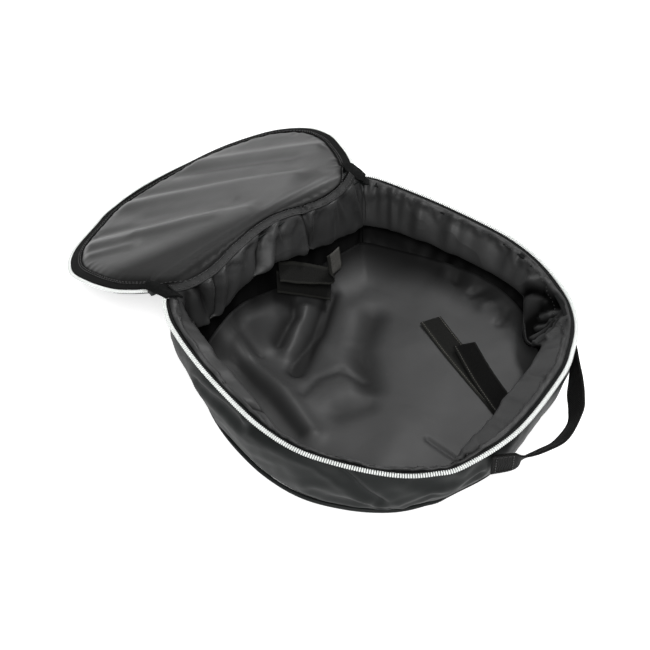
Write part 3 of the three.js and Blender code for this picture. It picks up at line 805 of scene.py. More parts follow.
def ribbon(name, path, across, width, thickness, steps, curl=0.0):
    """Webbing along a middle line, with thicker selvedges and a closed section."""
    shares = np.linspace(0, 1, steps + 1)
    middle = through(path, shares)
    along = unit(np.gradient(middle, axis=0))
    side = square_to(through(across, shares), along)
    face = np.cross(along, side)
    half, deep = width / 2, thickness / 2
    top = [(inset - half, deep * full) for inset, full in SELVEDGE_SECTION]
    body = half - BODY_INSET
    top += [(a, deep * BODY_FULL) for a in np.linspace(-body, body, BODY_COLUMNS)]
    top += [(half - inset, deep * full) for inset, full in SELVEDGE_SECTION[:0:-1]]
    a, b = np.array(top + [(-a, -b) for a, b in top]).T
    b = b + curl * (a / half) ** 2
    points = middle[:, None] + side[:, None] * a[None, :, None] + face[:, None] * b[None, :, None]
    return cloth_grid(name, points, closed=True, ends=True)


# Finishes: dark and light colour of each, in linear red, green and blue
COLOURS = {
    "shell_nylon": ((0.0028, 0.0037, 0.0036), (0.0068, 0.0087, 0.0084)),
    "tub_lining": ((0.019, 0.0192, 0.0193), (0.04, 0.0402, 0.0405)),
    "wall_lining": ((0.019, 0.0192, 0.0193), (0.04, 0.0402, 0.0405)),
    "lid_lining": ((0.02, 0.0202, 0.02), (0.04, 0.0403, 0.04)),
    "zip_tape": ((0.003, 0.0033, 0.0033), (0.009, 0.0096, 0.0096)),
    "zip_teeth": ((0.62, 0.64, 0.62), (0.82, 0.84, 0.83)),
    "webbing": ((0.002, 0.002, 0.002), (0.0065, 0.0065, 0.0062)),
    "loop_tape": ((0.006, 0.006, 0.0057), (0.014, 0.014, 0.0132)),
    "hook_tape": ((0.0015, 0.0015, 0.0015), (0.005, 0.005, 0.0048)),
    "black_thread": ((0.006, 0.006, 0.006), (0.03, 0.03, 0.03)),
    "pale_thread": ((0.05, 0.048, 0.04), (0.16, 0.155, 0.13)),
}
# Painted shade: the dark matte colour that a finish mixes in where its marks ask for shade
PAINTED_SHADE_COLOUR = (0.0025, 0.0025, 0.0025)
PALE_PILE = (0.075, 0.073, 0.068)
LOOP_SELVEDGE = (0.02, 0.02, 0.018)
HOOK_SELVEDGE = (0.008, 0.008, 0.0075)


class Value:
    """One output in a finish, on which sums are written."""

    def __init__(self, finish, socket):
        self.finish = finish
        self.socket = socket

    def sum(self, operation, *terms):
        return self.finish.add("Math", {"operation": operation}, dict(enumerate(terms)))

    def __add__(self, other):
        return self.sum("ADD", self, other)

    def __sub__(self, other):
        return self.sum("SUBTRACT", self, other)

    def __rsub__(self, other):
        return self.sum("SUBTRACT", other, self)

    def __mul__(self, other):
        return self.sum("MULTIPLY", self, other)

    __radd__ = __add__
    __rmul__ = __mul__

    def size(self):
        return self.sum("ABSOLUTE", self)

    def power(self, exponent):
        return self.sum("POWER", self, exponent)

    def wave(self, pitch):
        """Wave along a length in metres, between -1 and 1. Its pitch is in millimetres."""
        return self.sum("SINE", self * (2 * math.pi / (pitch * MM)))

    def lifted(self):
        """A wave brought between 0 and 1."""
        return self * 0.5 + 0.5


class Finish:
    """A material, its nodes made by one method."""

    def __init__(self, name):
        self.material = bpy.data.materials.new(name)
        self.material.use_nodes = True
        self.tree = self.material.node_tree
        self.tree.nodes.clear()

    def add(self, kind, settings=None, sockets=None, output=0):
        node = self.tree.nodes.new("ShaderNode" + kind)
        for key, value in (settings or {}).items():
            setattr(node, key, value)
        for key, value in (sockets or {}).items():
            if isinstance(value, Value):
                self.tree.links.new(value.socket, node.inputs[key])
            else:
                node.inputs[key].default_value = value
        return Value(self, node.outputs[output]) if node.outputs else None

    def along_cloth(self):
        """The two lengths along the cloth, in metres."""
        place = self.add("UVMap", {"uv_map": "cloth"})
        parts = self.add("SeparateXYZ", sockets={0: place})
        return parts, Value(self, parts.socket.node.outputs[1])

    def marked(self, name):
        """Values that are marked on the points of a piece."""
        return self.add("Attribute", {"attribute_name": name}, output=2)

    def cloud(self, scale, detail=3, roughness=0.55):
        place = self.add("TexCoord", output=3)
        sockets = {"Vector": place, "Scale": scale, "Detail": detail, "Roughness": roughness}
        return self.add("TexNoise", sockets=sockets)

    def woven(self, pitch):
        """Height of a plain weave, from 0 to 1."""
        u, v = self.along_cloth()
        return (u.wave(pitch) * v.wave(pitch)).lifted()

    def mixed(self, share, first, second):
        """Colour between two colours."""
        colours = [c if isinstance(c, Value) else (*c, 1) for c in (first, second)]
        return self.add("Mix", {"data_type": "RGBA"}, {0: share, 6: colours[0], 7: colours[1]}, 2)

    def close(self, colour, roughness, height, bump, dark=None, **even):
        """Surface from its colour, roughness, relief and share of painted shade, where a dark matte is mixed in.
        Even values don't change over it.
        """
        relief = self.add("Bump", sockets={"Strength": bump, "Distance": MM, "Height": height})
        sockets = {"Base Color": colour, "Roughness": roughness, "Normal": relief}
        sockets.update({key.replace("_", " "): value for key, value in even.items()})
        surface = self.add("BsdfPrincipled", sockets=sockets)
        if dark is not None:
            sockets = {"Base Color": (*PAINTED_SHADE_COLOUR, 1), "Roughness": 1, "Specular IOR Level": 0, "Normal": relief}
            deep = self.add("BsdfPrincipled", sockets=sockets)
            surface = self.add("MixShader", sockets={0: dark, 1: surface, 2: deep})
        self.add("OutputMaterial", sockets={"Surface": surface})
        return self.material


def shell_nylon(name):
    finish = Finish(name)
    weave = finish.woven(pitch=1.1)
    cloud = finish.cloud(scale=14)
    creases = finish.cloud(scale=55, detail=5, roughness=0.6)
    colour = finish.mixed(cloud * 0.7 + weave * 0.3, *COLOURS[name])
    return finish.close(
        colour, roughness=0.58 + cloud * 0.12 - weave * 0.05, height=weave * 0.03 + creases * 0.8, bump=0.55,
        Sheen_Weight=0.02, Sheen_Roughness=0.5, Specular_IOR_Level=0.27)


def satin_lining(name, rough, gloss, crinkle=0):
    finish = Finish(name)
    weave = finish.woven(pitch=0.55)
    cloud = finish.cloud(scale=11)
    crumple = finish.cloud(scale=38, detail=4)
    fine = finish.cloud(scale=160, roughness=0.6)
    colour = finish.mixed(cloud * 0.8 + weave * 0.2, *COLOURS[name])
    height = crumple * 0.8 + fine * 0.16 + weave * 0.006
    if crinkle:
        broad = finish.cloud(scale=17, detail=1, roughness=0.4)
        height = height + (1 - (broad * 2 - 1).size()).power(9) * crinkle
    return finish.close(
        colour, roughness=rough + crumple * 0.12 - weave * 0.03, height=height, bump=0.42,
        dark=finish.marked("shade"), Sheen_Weight=0.03, Sheen_Roughness=0.4, Specular_IOR_Level=gloss)


def zip_tape(name):
    finish = Finish(name)
    u, v = finish.along_cloth()
    twill = (u + v).wave(1.3).lifted()
    cloud = finish.cloud(scale=40)
    colour = finish.mixed(cloud * 0.6 + twill * 0.4, *COLOURS[name])
    return finish.close(
        colour, roughness=0.62 + twill * 0.1, height=twill * 0.35 + cloud * 0.3, bump=0.6,
        dark=finish.marked("shade"), Sheen_Weight=0.02, Sheen_Roughness=0.5, Specular_IOR_Level=0.1)


def zip_teeth(name):
    finish = Finish(name)
    cloud = finish.cloud(scale=60)
    colour = finish.mixed(cloud, *COLOURS[name])
    return finish.close(colour, roughness=0.28 + cloud * 0.16, height=cloud, bump=0.1, Coat_Weight=0.15)


def webbing(name):
    """Herringbone webbing: ribs that slant one way and then the other across it."""
    finish = Finish(name)
    u, v = finish.along_cloth()
    rib = (v + u.wave(24).size() * (1.5 * MM)).wave(2.2).lifted()
    yarn = u.wave(1.1).lifted()
    cloud = finish.cloud(scale=45)
    colour = finish.mixed(rib * 0.4 + cloud * 0.6, *COLOURS[name])
    return finish.close(
        colour, roughness=0.6 + cloud * 0.15, height=rib * 0.6 + yarn * 0.25, bump=0.8,
        Sheen_Weight=0.01, Sheen_Roughness=0.45, Specular_IOR_Level=0.1)


def fuzzy_tape(name, scale, edge):
    """Hook-and-loop tape: a dense pile with a smooth woven edge."""
    finish = Finish(name)
    _, v = finish.along_cloth()
    pile = finish.cloud(scale, detail=4, roughness=0.7)
    cloud = finish.cloud(scale=30)
    selvedge = finish.marked("selvedge")
    body = finish.mixed(pile * 0.6 + cloud * 0.4, *COLOURS[name])
    body = finish.mixed(finish.marked("pale_pile"), body, PALE_PILE)
    height = pile * (1 - selvedge) * 1.4 + v.wave(1.2) * selvedge * 0.3
    return finish.close(
        finish.mixed(selvedge, body, edge), roughness=0.82 - selvedge * 0.2, height=height, bump=0.8,
        Sheen_Weight=0.01, Sheen_Roughness=0.6, Specular_IOR_Level=0.04)


def thread(name):
    finish = Finish(name)
    u, v = finish.along_cloth()
    twist = (u + v * 2).wave(0.7).lifted()
    colour = finish.mixed(twist, *COLOURS[name])
    return finish.close(colour, roughness=0.5 + twist * 0.1, height=twist * 0.3, bump=0.6, Sheen_Weight=0.1)


SHELL = shell_nylon("shell_nylon")
TUB_LINING = satin_lining("tub_lining", rough=0.5, gloss=0.34)
WALL_LINING = satin_lining("wall_lining", rough=0.48, gloss=0.36, crinkle=1.1)
LID_LINING = satin_lining("lid_lining", rough=0.4, gloss=0.4)
TAPE = zip_tape("zip_tape")
TEETH = zip_teeth("zip_teeth")
WEBBING = webbing("webbing")
LOOP_TAPE = fuzzy_tape("loop_tape", 420, LOOP_SELVEDGE)
HOOK_TAPE = fuzzy_tape("hook_tape", 700, HOOK_SELVEDGE)
BLACK_THREAD = thread("black_thread")
PALE_THREAD = thread("pale_thread")


def cut_band(points, closed=False):
    """Mean width and length of a band of cloth, in metres."""
    width = steps_of(points).sum(0).mean()
    length = steps_of(round_again(points, closed), 1).sum(1).mean()
    return width * MM, length * MM


def cut_panel(piece, points, turned):
    """Overall width and length of a panel with its turned edge laid flat, and its area, in metres."""
    width, length = (np.ptp(points[0, :, k]) + 2 * turned for k in (0, 1))
    return (width * MM, length * MM), sum(face.area for face in piece.data.polygons)


def dress(piece, finish, slot, *nodes):
    """Gives a piece its finish, the node it stands for and the body it rides on. Its slot in the record is not
    used.
    """
    piece.data.materials.clear()
    piece.data.materials.append(finish)
    if nodes:
        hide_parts(*nodes)
    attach(piece, "root")


# Bottom of the tub
def base_ring(inside, z):
    return rim.inside(BASE_INSET + inside + tuck, z)


base_points = np.stack([base_ring(inside, z) for inside, z in BASE_SECTION])
base_panel = cloth_grid("base_panel_cloth", base_points, closed=True, cap=True)
flat_coordinates(base_panel)
thicken(base_panel, BASE_CLOTH)
dress(base_panel, SHELL, "shell_nylon", "base_panel")
flat, area = cut_panel(base_panel, base_points, BASE_TURN_UP)

piping_points = np.stack([
    base_ring(-PIPING_PROUD - PIPING_RADIUS * (1 + math.cos(t)), BASE_TURN_UP + PIPING_RADIUS * math.sin(t))
    for t in np.linspace(0, 2 * math.pi, PIPING_SIDES + 1)
])
base_piping = cloth_grid("base_piping_cord", piping_points, closed=True, flip=True)
dress(base_piping, SHELL, "shell_nylon", "base_piping")

# Side wall of the tub
wall_rows = np.linspace(0, 1, WALL_ROWS)
wall_points = np.stack([rim.inside(-wall_out(up), wall_height(up)) for up in wall_rows])
wall_push = np.zeros(wall_points.shape[:2])
for line, width, groove, ridge in WALL_FOLDS:
    gap = gap_to(wall_points, line)
    wall_push += ridge * bell(gap - RIDGE_GAP * width, width) - groove * bell(gap, width)
wall_run = np.broadcast_to(rim.run, wall_push.shape)
for rise, stretch, wave in WALL_SLACK:
    wall_push += rise * ripple(wall_run, wall_points[..., 2] * stretch, wave)
edge_fade = fade(np.minimum(wall_rows, 1 - wall_rows), WALL_EDGE)[:, None]
wall_points[..., :2] += rim.out * (np.clip(wall_push, *WALL_PUSH) * edge_fade)[..., None]
outer_wall = cloth_grid("outer_wall_cloth", wall_points, closed=True, flip=True)
thicken(outer_wall, SHELL_CLOTH)
dress(outer_wall, SHELL, "shell_nylon", "outer_wall")
cut_band(wall_points, True)

# Padded lining of the side wall
edge_run = np.array([rim.run_at(x, y) for x, y, _, _ in LINING_EDGE])
edge_order = np.argsort(edge_run)


def round_rim(column):
    """A column of the lining's edge table, smooth all round the rim."""
    values = np.array(LINING_EDGE, float)[edge_order, column]
    return soften(np.interp(rim.run, edge_run[edge_order], values, period=rim.total), EDGE_SMOOTHING)


edge_inside = round_rim(2)
rim_x, _, rim_z = rim.spot.T
edge_z = rim_z - round_rim(3)
low_z = LOW_SHARE * edge_z + (1 - LOW_SHARE) * FLOOR_LEVEL
root_z = edge_z - ROLL_ROOT_DROP
at_hinge = np.clip(rim.out[:, 1], 0, 1) ** 4
under_strip = HINGE_Y - seam_y(rim_x) + STRIP_WIDTH - SEAM_LAP
strip_z = hinge_height(rim_x, seam_y(rim_x)) - STRIP_FALL
seam_inside = SEAM_INSIDE + (under_strip - SEAM_INSIDE) * at_hinge
seam_z = rim_z - SEAM_SINK + (strip_z - rim_z + SEAM_SINK) * at_hinge
roll = edge_inside - seam_inside
fall = seam_z - edge_z
hollow = bell(rim.apart(rim.run_at(*FAN)), FAN_REACH)
puff = ROLL_PUFF * (1 - at_hinge) * (1 - hollow)
section = [
    (seam_inside + (deep + deeper * hollow) * roll, seam_z + swell * puff - (drop + lower * hollow) * fall)
    for deep, drop, swell, deeper, lower in ROLL_SECTION
]
face_back, face_rise, face_fall = (a + b * hollow for a, b in zip(ROLL_FACE, ROLL_FACE_HOLLOW))
section += [
    (edge_inside - face_back, edge_z + face_rise + face_fall * fall),
    (edge_inside, edge_z),
    (edge_inside - ROLL_UNDERSIDE[0], edge_z - ROLL_UNDERSIDE[1]),
    (np.maximum(wall_inside(root_z), edge_inside - ROLL_ROOT_BACK), root_z),
    (wall_inside(low_z) + 1, low_z),
]
section += [(wall_inside(FLOOR_LEVEL) + deep, np.full(rim.count, FLOOR_LEVEL + up)) for deep, up in LINING_FOOT]
control = np.array([np.column_stack(pair) for pair in section])
shares = np.linspace(0, 1, LINING_ROWS) ** ROW_CROWDING
lining_section = np.stack([through(control[:, k], shares) for k in range(rim.count)], 1)
lining_points = np.stack([rim.inside(row[:, 0], row[:, 1]) for row in lining_section])

pleats = np.zeros(lining_points.shape[:2])
row_share = shares[:, None]
for x, y, reach, count, depth, width in GATHERS:
    steps = np.arange(count) + random.uniform(*PLEAT_SHIFT, count) - count / 2 + 0.5
    for place in rim.run_at(x, y) + reach * steps * 2 / count:
        slant = random.uniform(*PLEAT_SLANT)
        wide = width * random.uniform(*PLEAT_WIDTH)
        deep = depth * random.uniform(*PLEAT_DEPTH) * random.choice(PLEAT_SIDE)
        pleat_fade = fade(random.uniform(*PLEAT_END) - row_share, PLEAT_FADE) * fade(row_share, *PLEAT_START)
        gap = rim.apart(place % rim.total)[None, :] - slant * row_share
        pleats += deep * (bell(gap, wide) - PLEAT_DIP * bell(gap - PLEAT_DIP_GAP * wide, wide)) * pleat_fade
roll_fade = fade(ROLL_END - row_share, HINGE_FOLD_FADE) * fade(row_share, *HINGE_FOLD_START)
for top, low, width, rise in HINGE_FOLDS:
    gap = rim_x - top - (low - top) * row_share / ROLL_TURN
    pleats += HINGE_FOLD_RISE * rise * bell(gap, HINGE_FOLD_WIDTH * width) * roll_fade * at_hinge
lining_place = lining_points[..., :2]
crease_fade = fade(ROLL_END - row_share, CREASE_FADE)
fan_fade = crease_fade * fade(row_share, FAN_START)
fan_dark = bell(gap_to(lining_place, FAN_HOLLOW), FAN_HOLLOW_WIDTH) * fan_fade
fan_gap = np.min([gap_to(lining_place, line) for line in FAN_PLEATS], axis=0)
fan_light = bell(fan_gap, FAN_PLEAT_WIDTH) * fan_fade
pleats += FAN_PLEAT_RISE * fan_light - FAN_HOLLOW_DEPTH * fan_dark
crease_shade = 0
for line, width, depth, dark in LINING_CREASES:
    crease = bell(gap_to(lining_place, line), width) * crease_fade
    pleats -= depth * crease
    crease_shade = np.maximum(crease_shade, dark * crease)
roll_lip, roll_edge = gap_to(lining_place, FAN_ROLL_LIP), gap_to(lining_place, FAN_ROLL_EDGE)
pleats += FAN_LIP_RISE * bell(roll_lip, FAN_LIP_WIDTH) * fan_fade
pleats -= FAN_EDGE_DEPTH * bell(roll_edge, FAN_EDGE_WIDTH) * fan_fade
lining_run = np.broadcast_to(rim.run, pleats.shape)
rise, wave, reach = SEAM_PUCKER
push = np.clip(pleats, *PLEAT_LIMITS) + rise * ripple(lining_run, 0 * pleats, wave) * bell(row_share, reach)
rise, wave, stretch = LINING_SWELL
push += rise * ripple(lining_run, row_share * stretch, wave)
push *= fade(1 - row_share, 0.1) * fade(row_share, 0.03)
lining_points = lining_points - facing(lining_points) * push[..., None]
lining_wall = cloth_grid("lining_wall_pad", lining_points, closed=True, flip=True)
held = np.ones(pleats.shape)
held[SEAM_ROW:-FOOT_ROWS] = 0
settle(lining_wall, held.ravel(), spare=0.06, pressure=1.5, frames=16, cap=3)
thicken(lining_wall, WALL_PADDING)
# Painted shade on the lining: a dappled painted shadow under the roll, painted shade in the fan's hollow and
# along its roll edge but not on its pleats, in the folds by the hinge, on the near side and in the creases
dapple = UNDER_ROLL_DAPPLE * ripple(lining_run, 60 * row_share, 26)
under_roll_shadow = fade(row_share - ROLL_TURN, 0.08) * (UNDER_ROLL_DARK + dapple)
fan_depth = np.maximum(fan_dark, FAN_EDGE_DARK * bell(roll_edge, FAN_LIP_WIDTH) * fan_fade)
fan_shade = np.clip(FAN_DARK * fan_depth, 0, FAN_DARKEST) * (1 - fan_light)
fold_and_side_shade = FOLD_DARK * np.clip(-pleats, 0, 6) * at_hinge + NEAR_SIDE_DARK * np.clip(-rim.out[:, 1], 0, 1)
mark(lining_wall, "shade", np.clip(np.maximum.reduce([under_roll_shadow, fan_shade + fold_and_side_shade, crease_shade]), 0, 1))
dress(lining_wall, WALL_LINING, "tub_lining", "lining_wall")
lining_seam = points_of(lining_wall).reshape(lining_points.shape)[SEAM_ROW, rim.zipped]
dress(stitches("lining_stitches", lining_seam, UP, *LINING_STITCH), BLACK_THREAD, "tub_lining")


# Padded floor of the tub
def floor_top(x, y):
    z = FLOOR_LEVEL
    for cx, cy, along_x, along_y, rise in FLOOR_DENTS:
        z = z + rise * bell(x - cx, along_x) * bell(y - cy, along_y)
    return z


floor_edge = soften(base_ring(FLOOR_INSET, FLOOR_LEVEL).T, FLOOR_SMOOTHING).T
floor_shares = np.concatenate([[1, 0.985], np.linspace(0.96, 0.02, FLOOR_ROWS)])
floor_points = np.stack([floor_edge * [share, share, 1] for share in floor_shares])
place = floor_points[..., :2]
floor_x, floor_y = place[..., 0], place[..., 1]
lift = floor_top(floor_x, floor_y) - FLOOR_LEVEL
fold_shade, ridges = np.zeros(lift.shape), np.zeros(lift.shape)
for line, width, rise in FLOOR_FOLDS:
    fold = rise * bell(gap_to(place, line), width)
    lift = lift + fold
    fold_dark = np.clip(-FLOOR_FOLD_DARK * fold - FLOOR_FOLD_FREE, 0, FLOOR_FOLD_DARKEST)
    fold_shade = np.maximum(fold_shade, fold_dark)
    ridges = np.maximum(ridges, fold)
lift = np.clip(lift, *FLOOR_LIMITS)
for rise, wave in FLOOR_SLACK:
    lift = lift + rise * ripple(floor_x, floor_y, wave)
bed_gap = np.min([gap_to(place, line) for line in STRAP_BEDS], axis=0)
lift = lift * (1 - STRAP_BED_PRESS * bell(bed_gap, STRAP_BED_WIDTH))
from_wall = (1 - floor_shares)[:, None] * np.hypot(floor_edge[:, 0], floor_edge[:, 1])
all_round, toward_x, toward_y = DARK_SIDE
dark_side = soften(np.clip(all_round + toward_x * rim.out[:, 0] + toward_y * rim.out[:, 1], 0, 1), 40)
climb_x, climb_reach, climb_rise = FLOOR_CLIMB_HIGH
climb = FLOOR_CLIMB * dark_side + climb_rise * bell(floor_x - climb_x, climb_reach) * at_hinge
by_wall = 1 - fade(from_wall, FLOOR_HEM)
lift = lift * (1 - by_wall) - FLOOR_HEM_DROP * by_wall
floor_points[..., 2] += lift + soften(climb, 20) * (1 - fade(from_wall, FLOOR_CLIMB_WIDTH)) ** 2
lining_floor = cloth_grid("lining_floor_pad", floor_points, closed=True, cap=True, flip=True)
flat_coordinates(lining_floor)
thicken(lining_floor, PANEL_PADDING)
# Painted shade on the floor lining: in its folds, and a painted shadow along the walls on the side away from the
# light, less on the ridges
dark_reach = DARK_REACH + (DARK_REACH_HINGE - DARK_REACH) * soften(at_hinge, 30)
wall_shade = FLOOR_WALL_DARK * dark_side * bell(from_wall, dark_reach) * (1 - 0.1 * np.clip(ridges, 0, 4))
mark(lining_floor, "shade", np.clip(np.maximum(0.9 * fold_shade, wall_shade), 0, 1))
dress(lining_floor, TUB_LINING, "tub_lining", "lining_floor")


# Zip: tapes, teeth and the seam beside them
def zip_level(outline, points):
    """Height that the zip follows: the rim line on the tub, the surface on the lid."""
    return rim.spot[rim.zipped, 2] if outline is rim else lid_height(points[:, 0], points[:, 1])


def tape_points(outline, inner, outer):
    """Tape between two edges, each a depth inside the zip and a drop below it."""
    rows = []
    for share in np.linspace(0, 1, 9):
        inside, drop = np.array(inner) + np.subtract(outer, inner) * share
        p = outline.off(-inside, 0.0)[outline.zipped]
        bow = 0.5 + 0.25 * np.sin(outline.run[outline.zipped] / 9.0)
        p[:, 2] = zip_level(outline, p) - drop + bow * math.sin(math.pi * share)
        rows.append(p)
    return np.stack(rows)


def teeth(name, outline, drop):
    run = outline.run[outline.zipped]
    count = int(run[-1] / TOOTH_PITCH)
    at = (np.arange(count) + 0.5) * run[-1] / count
    out = np.column_stack([unit(sampled(outline.out[outline.zipped], run, at)), np.zeros(count)])
    spot = sampled(outline.spot[outline.zipped], run, at) - [0, 0, drop]
    up = np.tile(UP, (count, 1))
    return scatter(name, bead(*TOOTH_SIZE), spot - out * TOOTH_SET_BACK, out, np.cross(up, out), up)


# Sides of the zip: name, edge, inner and outer edge of the tape, drop of the teeth, painted shade on the tape,
# what carries the tape
ZIP_SIDES = [
    ("tub", rim, (10.5, 5.6), (2.2, 1.1), 0.6, 0, ["outer_wall", "lining_wall"]),
    ("lid", lid, (15, 0.2), (2.2, 0.6), 2.0, 0.6, ["lid_shell", "lid_lining"]),
]
for side, outline, inner, outer, drop, shade, carriers in ZIP_SIDES:
    points = tape_points(outline, inner, outer)
    tape = cloth_grid(f"zip_tape_{side}_cloth", points)
    thicken(tape, TAPE_CLOTH)
    mark(tape, "shade", np.full(points.shape[:2], shade))
    dress(tape, TAPE, "zip_tape", f"zip_tape_{side}")
    cut_band(points)[1]
    dress(teeth(f"zip_coil_{side}", outline, drop), TEETH, "zip_teeth", f"zip_teeth_{side}")

TAPE_SEAM_INSIDE = 11.0
TAPE_SEAM_RISE = 0.5
tape_seam = lid.off(-TAPE_SEAM_INSIDE, 0.0)[lid.zipped]
tape_seam[:, 2] = zip_level(lid, tape_seam) + TAPE_SEAM_RISE
dress(stitches("tape_stitches_lid", tape_seam, UP, *TAPE_STITCH), BLACK_THREAD, "zip_tape")


# Lid
def lid_surface(x, y):
    """Height of the lid's lining, running up onto the hinge."""
    on = gently((y - HINGE_Y - 2) / 24)
    return hinge_height(x, y) * (1 - on) + lid_height(x, y) * on


def lid_ring(inside, share, rise, surface=lid_height):
    """Ring of the lid inside its edge, shrunk to its middle. A single depth leaves the hinge as it is."""
    inside = np.where(lid.zipped, inside, 0) if np.isscalar(inside) else inside
    p = lid.off(-inside, 0.0)
    middle = np.array([LID_MIDDLE[0], HINGE_Y + LID_MIDDLE[1]])
    p[:, :2] = middle + (p[:, :2] - middle) * share
    p[:, 2] = surface(p[:, 0], p[:, 1]) + rise
    return p


zip_ends = (lid.run[0], lid.run[lid.zip_end])
turned = gently(np.min([np.abs(lid.apart(end)) / reach for end, reach in zip(zip_ends, BORDER_TURN)], axis=0))
seam_depth = seam_y(lid.spot[:, 0]) - lid.spot[:, 1]
border = np.where(lid.zipped, LID_BORDER, LID_BORDER + (seam_depth - LID_BORDER) * turned)
border = soften(border, BORDER_SMOOTHING)
panel_shares = np.concatenate([[1, 0.992, 0.98, 0.965], np.linspace(0.94, 0.03, LID_ROWS)])
panel_rise = np.interp(panel_shares, *np.transpose(LID_CROWN))
panel_points = np.stack([
    lid_ring(border, share, rise, lid_surface) for share, rise in zip(panel_shares, panel_rise)
])
place = panel_points[..., :2]
lift = sum(rise * bell(gap_to(place, line), width) for line, width, rise in LID_FOLDS)
lift = lift + 0.35 * ripple(place[..., 0], place[..., 1], 60)
from_edge = (1 - panel_shares)[:, None]
pucker = 0.7 * ripple(np.broadcast_to(lid.run, lift.shape), 0 * lift, 10) * bell(from_edge, 0.05)
panel_points[..., 2] += lift * fade(from_edge, 0.06) + pucker
lid_panel = cloth_grid("lid_lining_pad", panel_points, closed=True, cap=True, flip=True)
flat_coordinates(lid_panel)
thicken(lid_panel, PANEL_PADDING)
# Painted shade on the lid's lining: a painted shadow along its edge, and painted shade toward the hinge
edge_shadow = LID_EDGE_SHADOW * fade(0.022 - from_edge, 0.016)
shade_line_y = np.interp(place[..., 0], *np.transpose(LID_SHADE_LINE))
hinge_shade = gently((shade_line_y - place[..., 1]) / LID_SHADE_BREADTH + 0.5)
mark(lid_panel, "shade", np.maximum(edge_shadow, LID_SHADE_DARK * hinge_shade))
dress(lid_panel, LID_LINING, "lid_lining", "lid_lining")

border_seam = lid_ring(border - 1.0, 1, 0.6, lid_surface)
border_seam = np.vstack([border_seam, border_seam[:1]])
dress(stitches("lid_border_stitches", border_seam, UP, *BORDER_STITCH), BLACK_THREAD, "lid_lining")

shell_rows = LID_SHELL_EDGE + [
    (LID_BORDER, share, -LID_SHELL_DEPTH) for share in np.linspace(0.95, 0.04, LID_SHELL_ROWS)
]
shell_points = np.stack([lid_ring(*row) for row in shell_rows])
sag = 0.8 * ripple(shell_points[..., 0], shell_points[..., 1], 80)
sag *= np.linspace(0, 1, len(sag))[:, None] ** 0.5
shell_points[..., 2] = np.maximum(shell_points[..., 2] + sag, LID_SHELL_LOWEST)
lid_shell = cloth_grid("lid_shell_cloth", shell_points, closed=True, cap=True)
thicken(lid_shell, SHELL_CLOTH)
dress(lid_shell, SHELL, "shell_nylon", "lid_shell")
flat, area = cut_panel(lid_shell, shell_points, 0)
min(area, flat[0] * flat[1])

# Hinge strip
strip_x = np.linspace(*HINGE_ENDS, STRIP_COLUMNS)
strip_share = np.linspace(0, 1, STRIP_ROWS)[:, None]
strip_points = np.zeros((STRIP_ROWS, STRIP_COLUMNS, 3))
strip_points[..., 0] = strip_x
past_crest = strip_share / STRIP_CREST - 1
strip_points[..., 1] = seam_y(strip_x) + STRIP_WIDTH * past_crest
strip_points[..., 2] = hinge_height(strip_x, seam_y(strip_x)) + STRIP_RISE - STRIP_FALL * past_crest**2
along_strip = strip_points[..., 0]
pucker = sum(rise * ripple(along_strip, strip_share * stretch, wave) for rise, stretch, wave in STRIP_SLACK)
for x, slant, width, rise in STRIP_PUCKERS:
    pucker += rise * bell(strip_x - x - slant * strip_share, width)
strip_points[..., 2] += np.clip(pucker, *STRIP_LIMITS) * np.sin(np.pi * np.clip(strip_share, 0.08, 0.92))
hinge_strip = cloth_grid("hinge_strip_cloth", strip_points)
thicken(hinge_strip, STRIP_CLOTH)
# The strip is darker all over, with a painted shadow along its seam with the lid
seam_shadow = fade(strip_share - STRIP_LID_FROM, 0.08) * np.interp(strip_x, [-60, 0], [0.7, 1])
mark(hinge_strip, "shade", STRIP_DARK + STRIP_SEAM_SHADOW * seam_shadow)
dress(hinge_strip, TUB_LINING, "tub_lining", "hinge_strip")
cut_band(strip_points)

for name, row in (("hinge_stitches_tub", 4), ("hinge_stitches_lid", 15)):
    dress(stitches(name, strip_points[row] + [0, 0, 0.2], UP, *HINGE_STITCH), BLACK_THREAD, "tub_lining")

# Cloth tabs over the ends of the zip
TAB_ROWS = 16
TAB_COLUMNS = 12
TAB_OVERLAP = 0.12
TAB_WIDTH = 15.5
TAB_NARROWING = 3.5
TAB_PROUD = 0.6
TAB_BOW = 1.6
TAB_SINK = 0.3
TAB_SHADE = 0.5


def zip_tab(node, tub_index, lid_index):
    start, end = rim.spot[tub_index], lid.spot[lid_index]
    out_start, out_end = np.append(rim.out[tub_index], 0), np.append(lid.out[lid_index], 0)
    bow = TAB_BOW * np.sin(np.pi * np.linspace(0, 1, TAB_COLUMNS)) - TAB_SINK
    rows = []
    for share in np.linspace(-TAB_OVERLAP, 1 + TAB_OVERLAP, TAB_ROWS):
        turned = np.clip(share, 0, 1)
        wide = np.linspace(TAB_NARROWING * turned - TAB_WIDTH, TAB_PROUD, TAB_COLUMNS)
        out = unit(out_start + (out_end - out_start) * turned)
        rows.append(start + (end - start) * share + out * wide[:, None] + np.outer(bow, UP))
    points = np.stack(rows)
    points[..., 2] += 0.4 * ripple(points[..., 0], points[..., 1], 12)
    tab = cloth_grid(node + "_tab", points, flip=(tub_index == 0))
    thicken(tab, TAB_CLOTH)
    mark(tab, "shade", np.full(points.shape[:2], TAB_SHADE))
    dress(tab, TAPE, "zip_tape", node)
    cut_band(points)


zip_tab("zip_end_left", rim.zip_end, 0)
zip_tab("zip_end_right", 0, lid.zip_end)

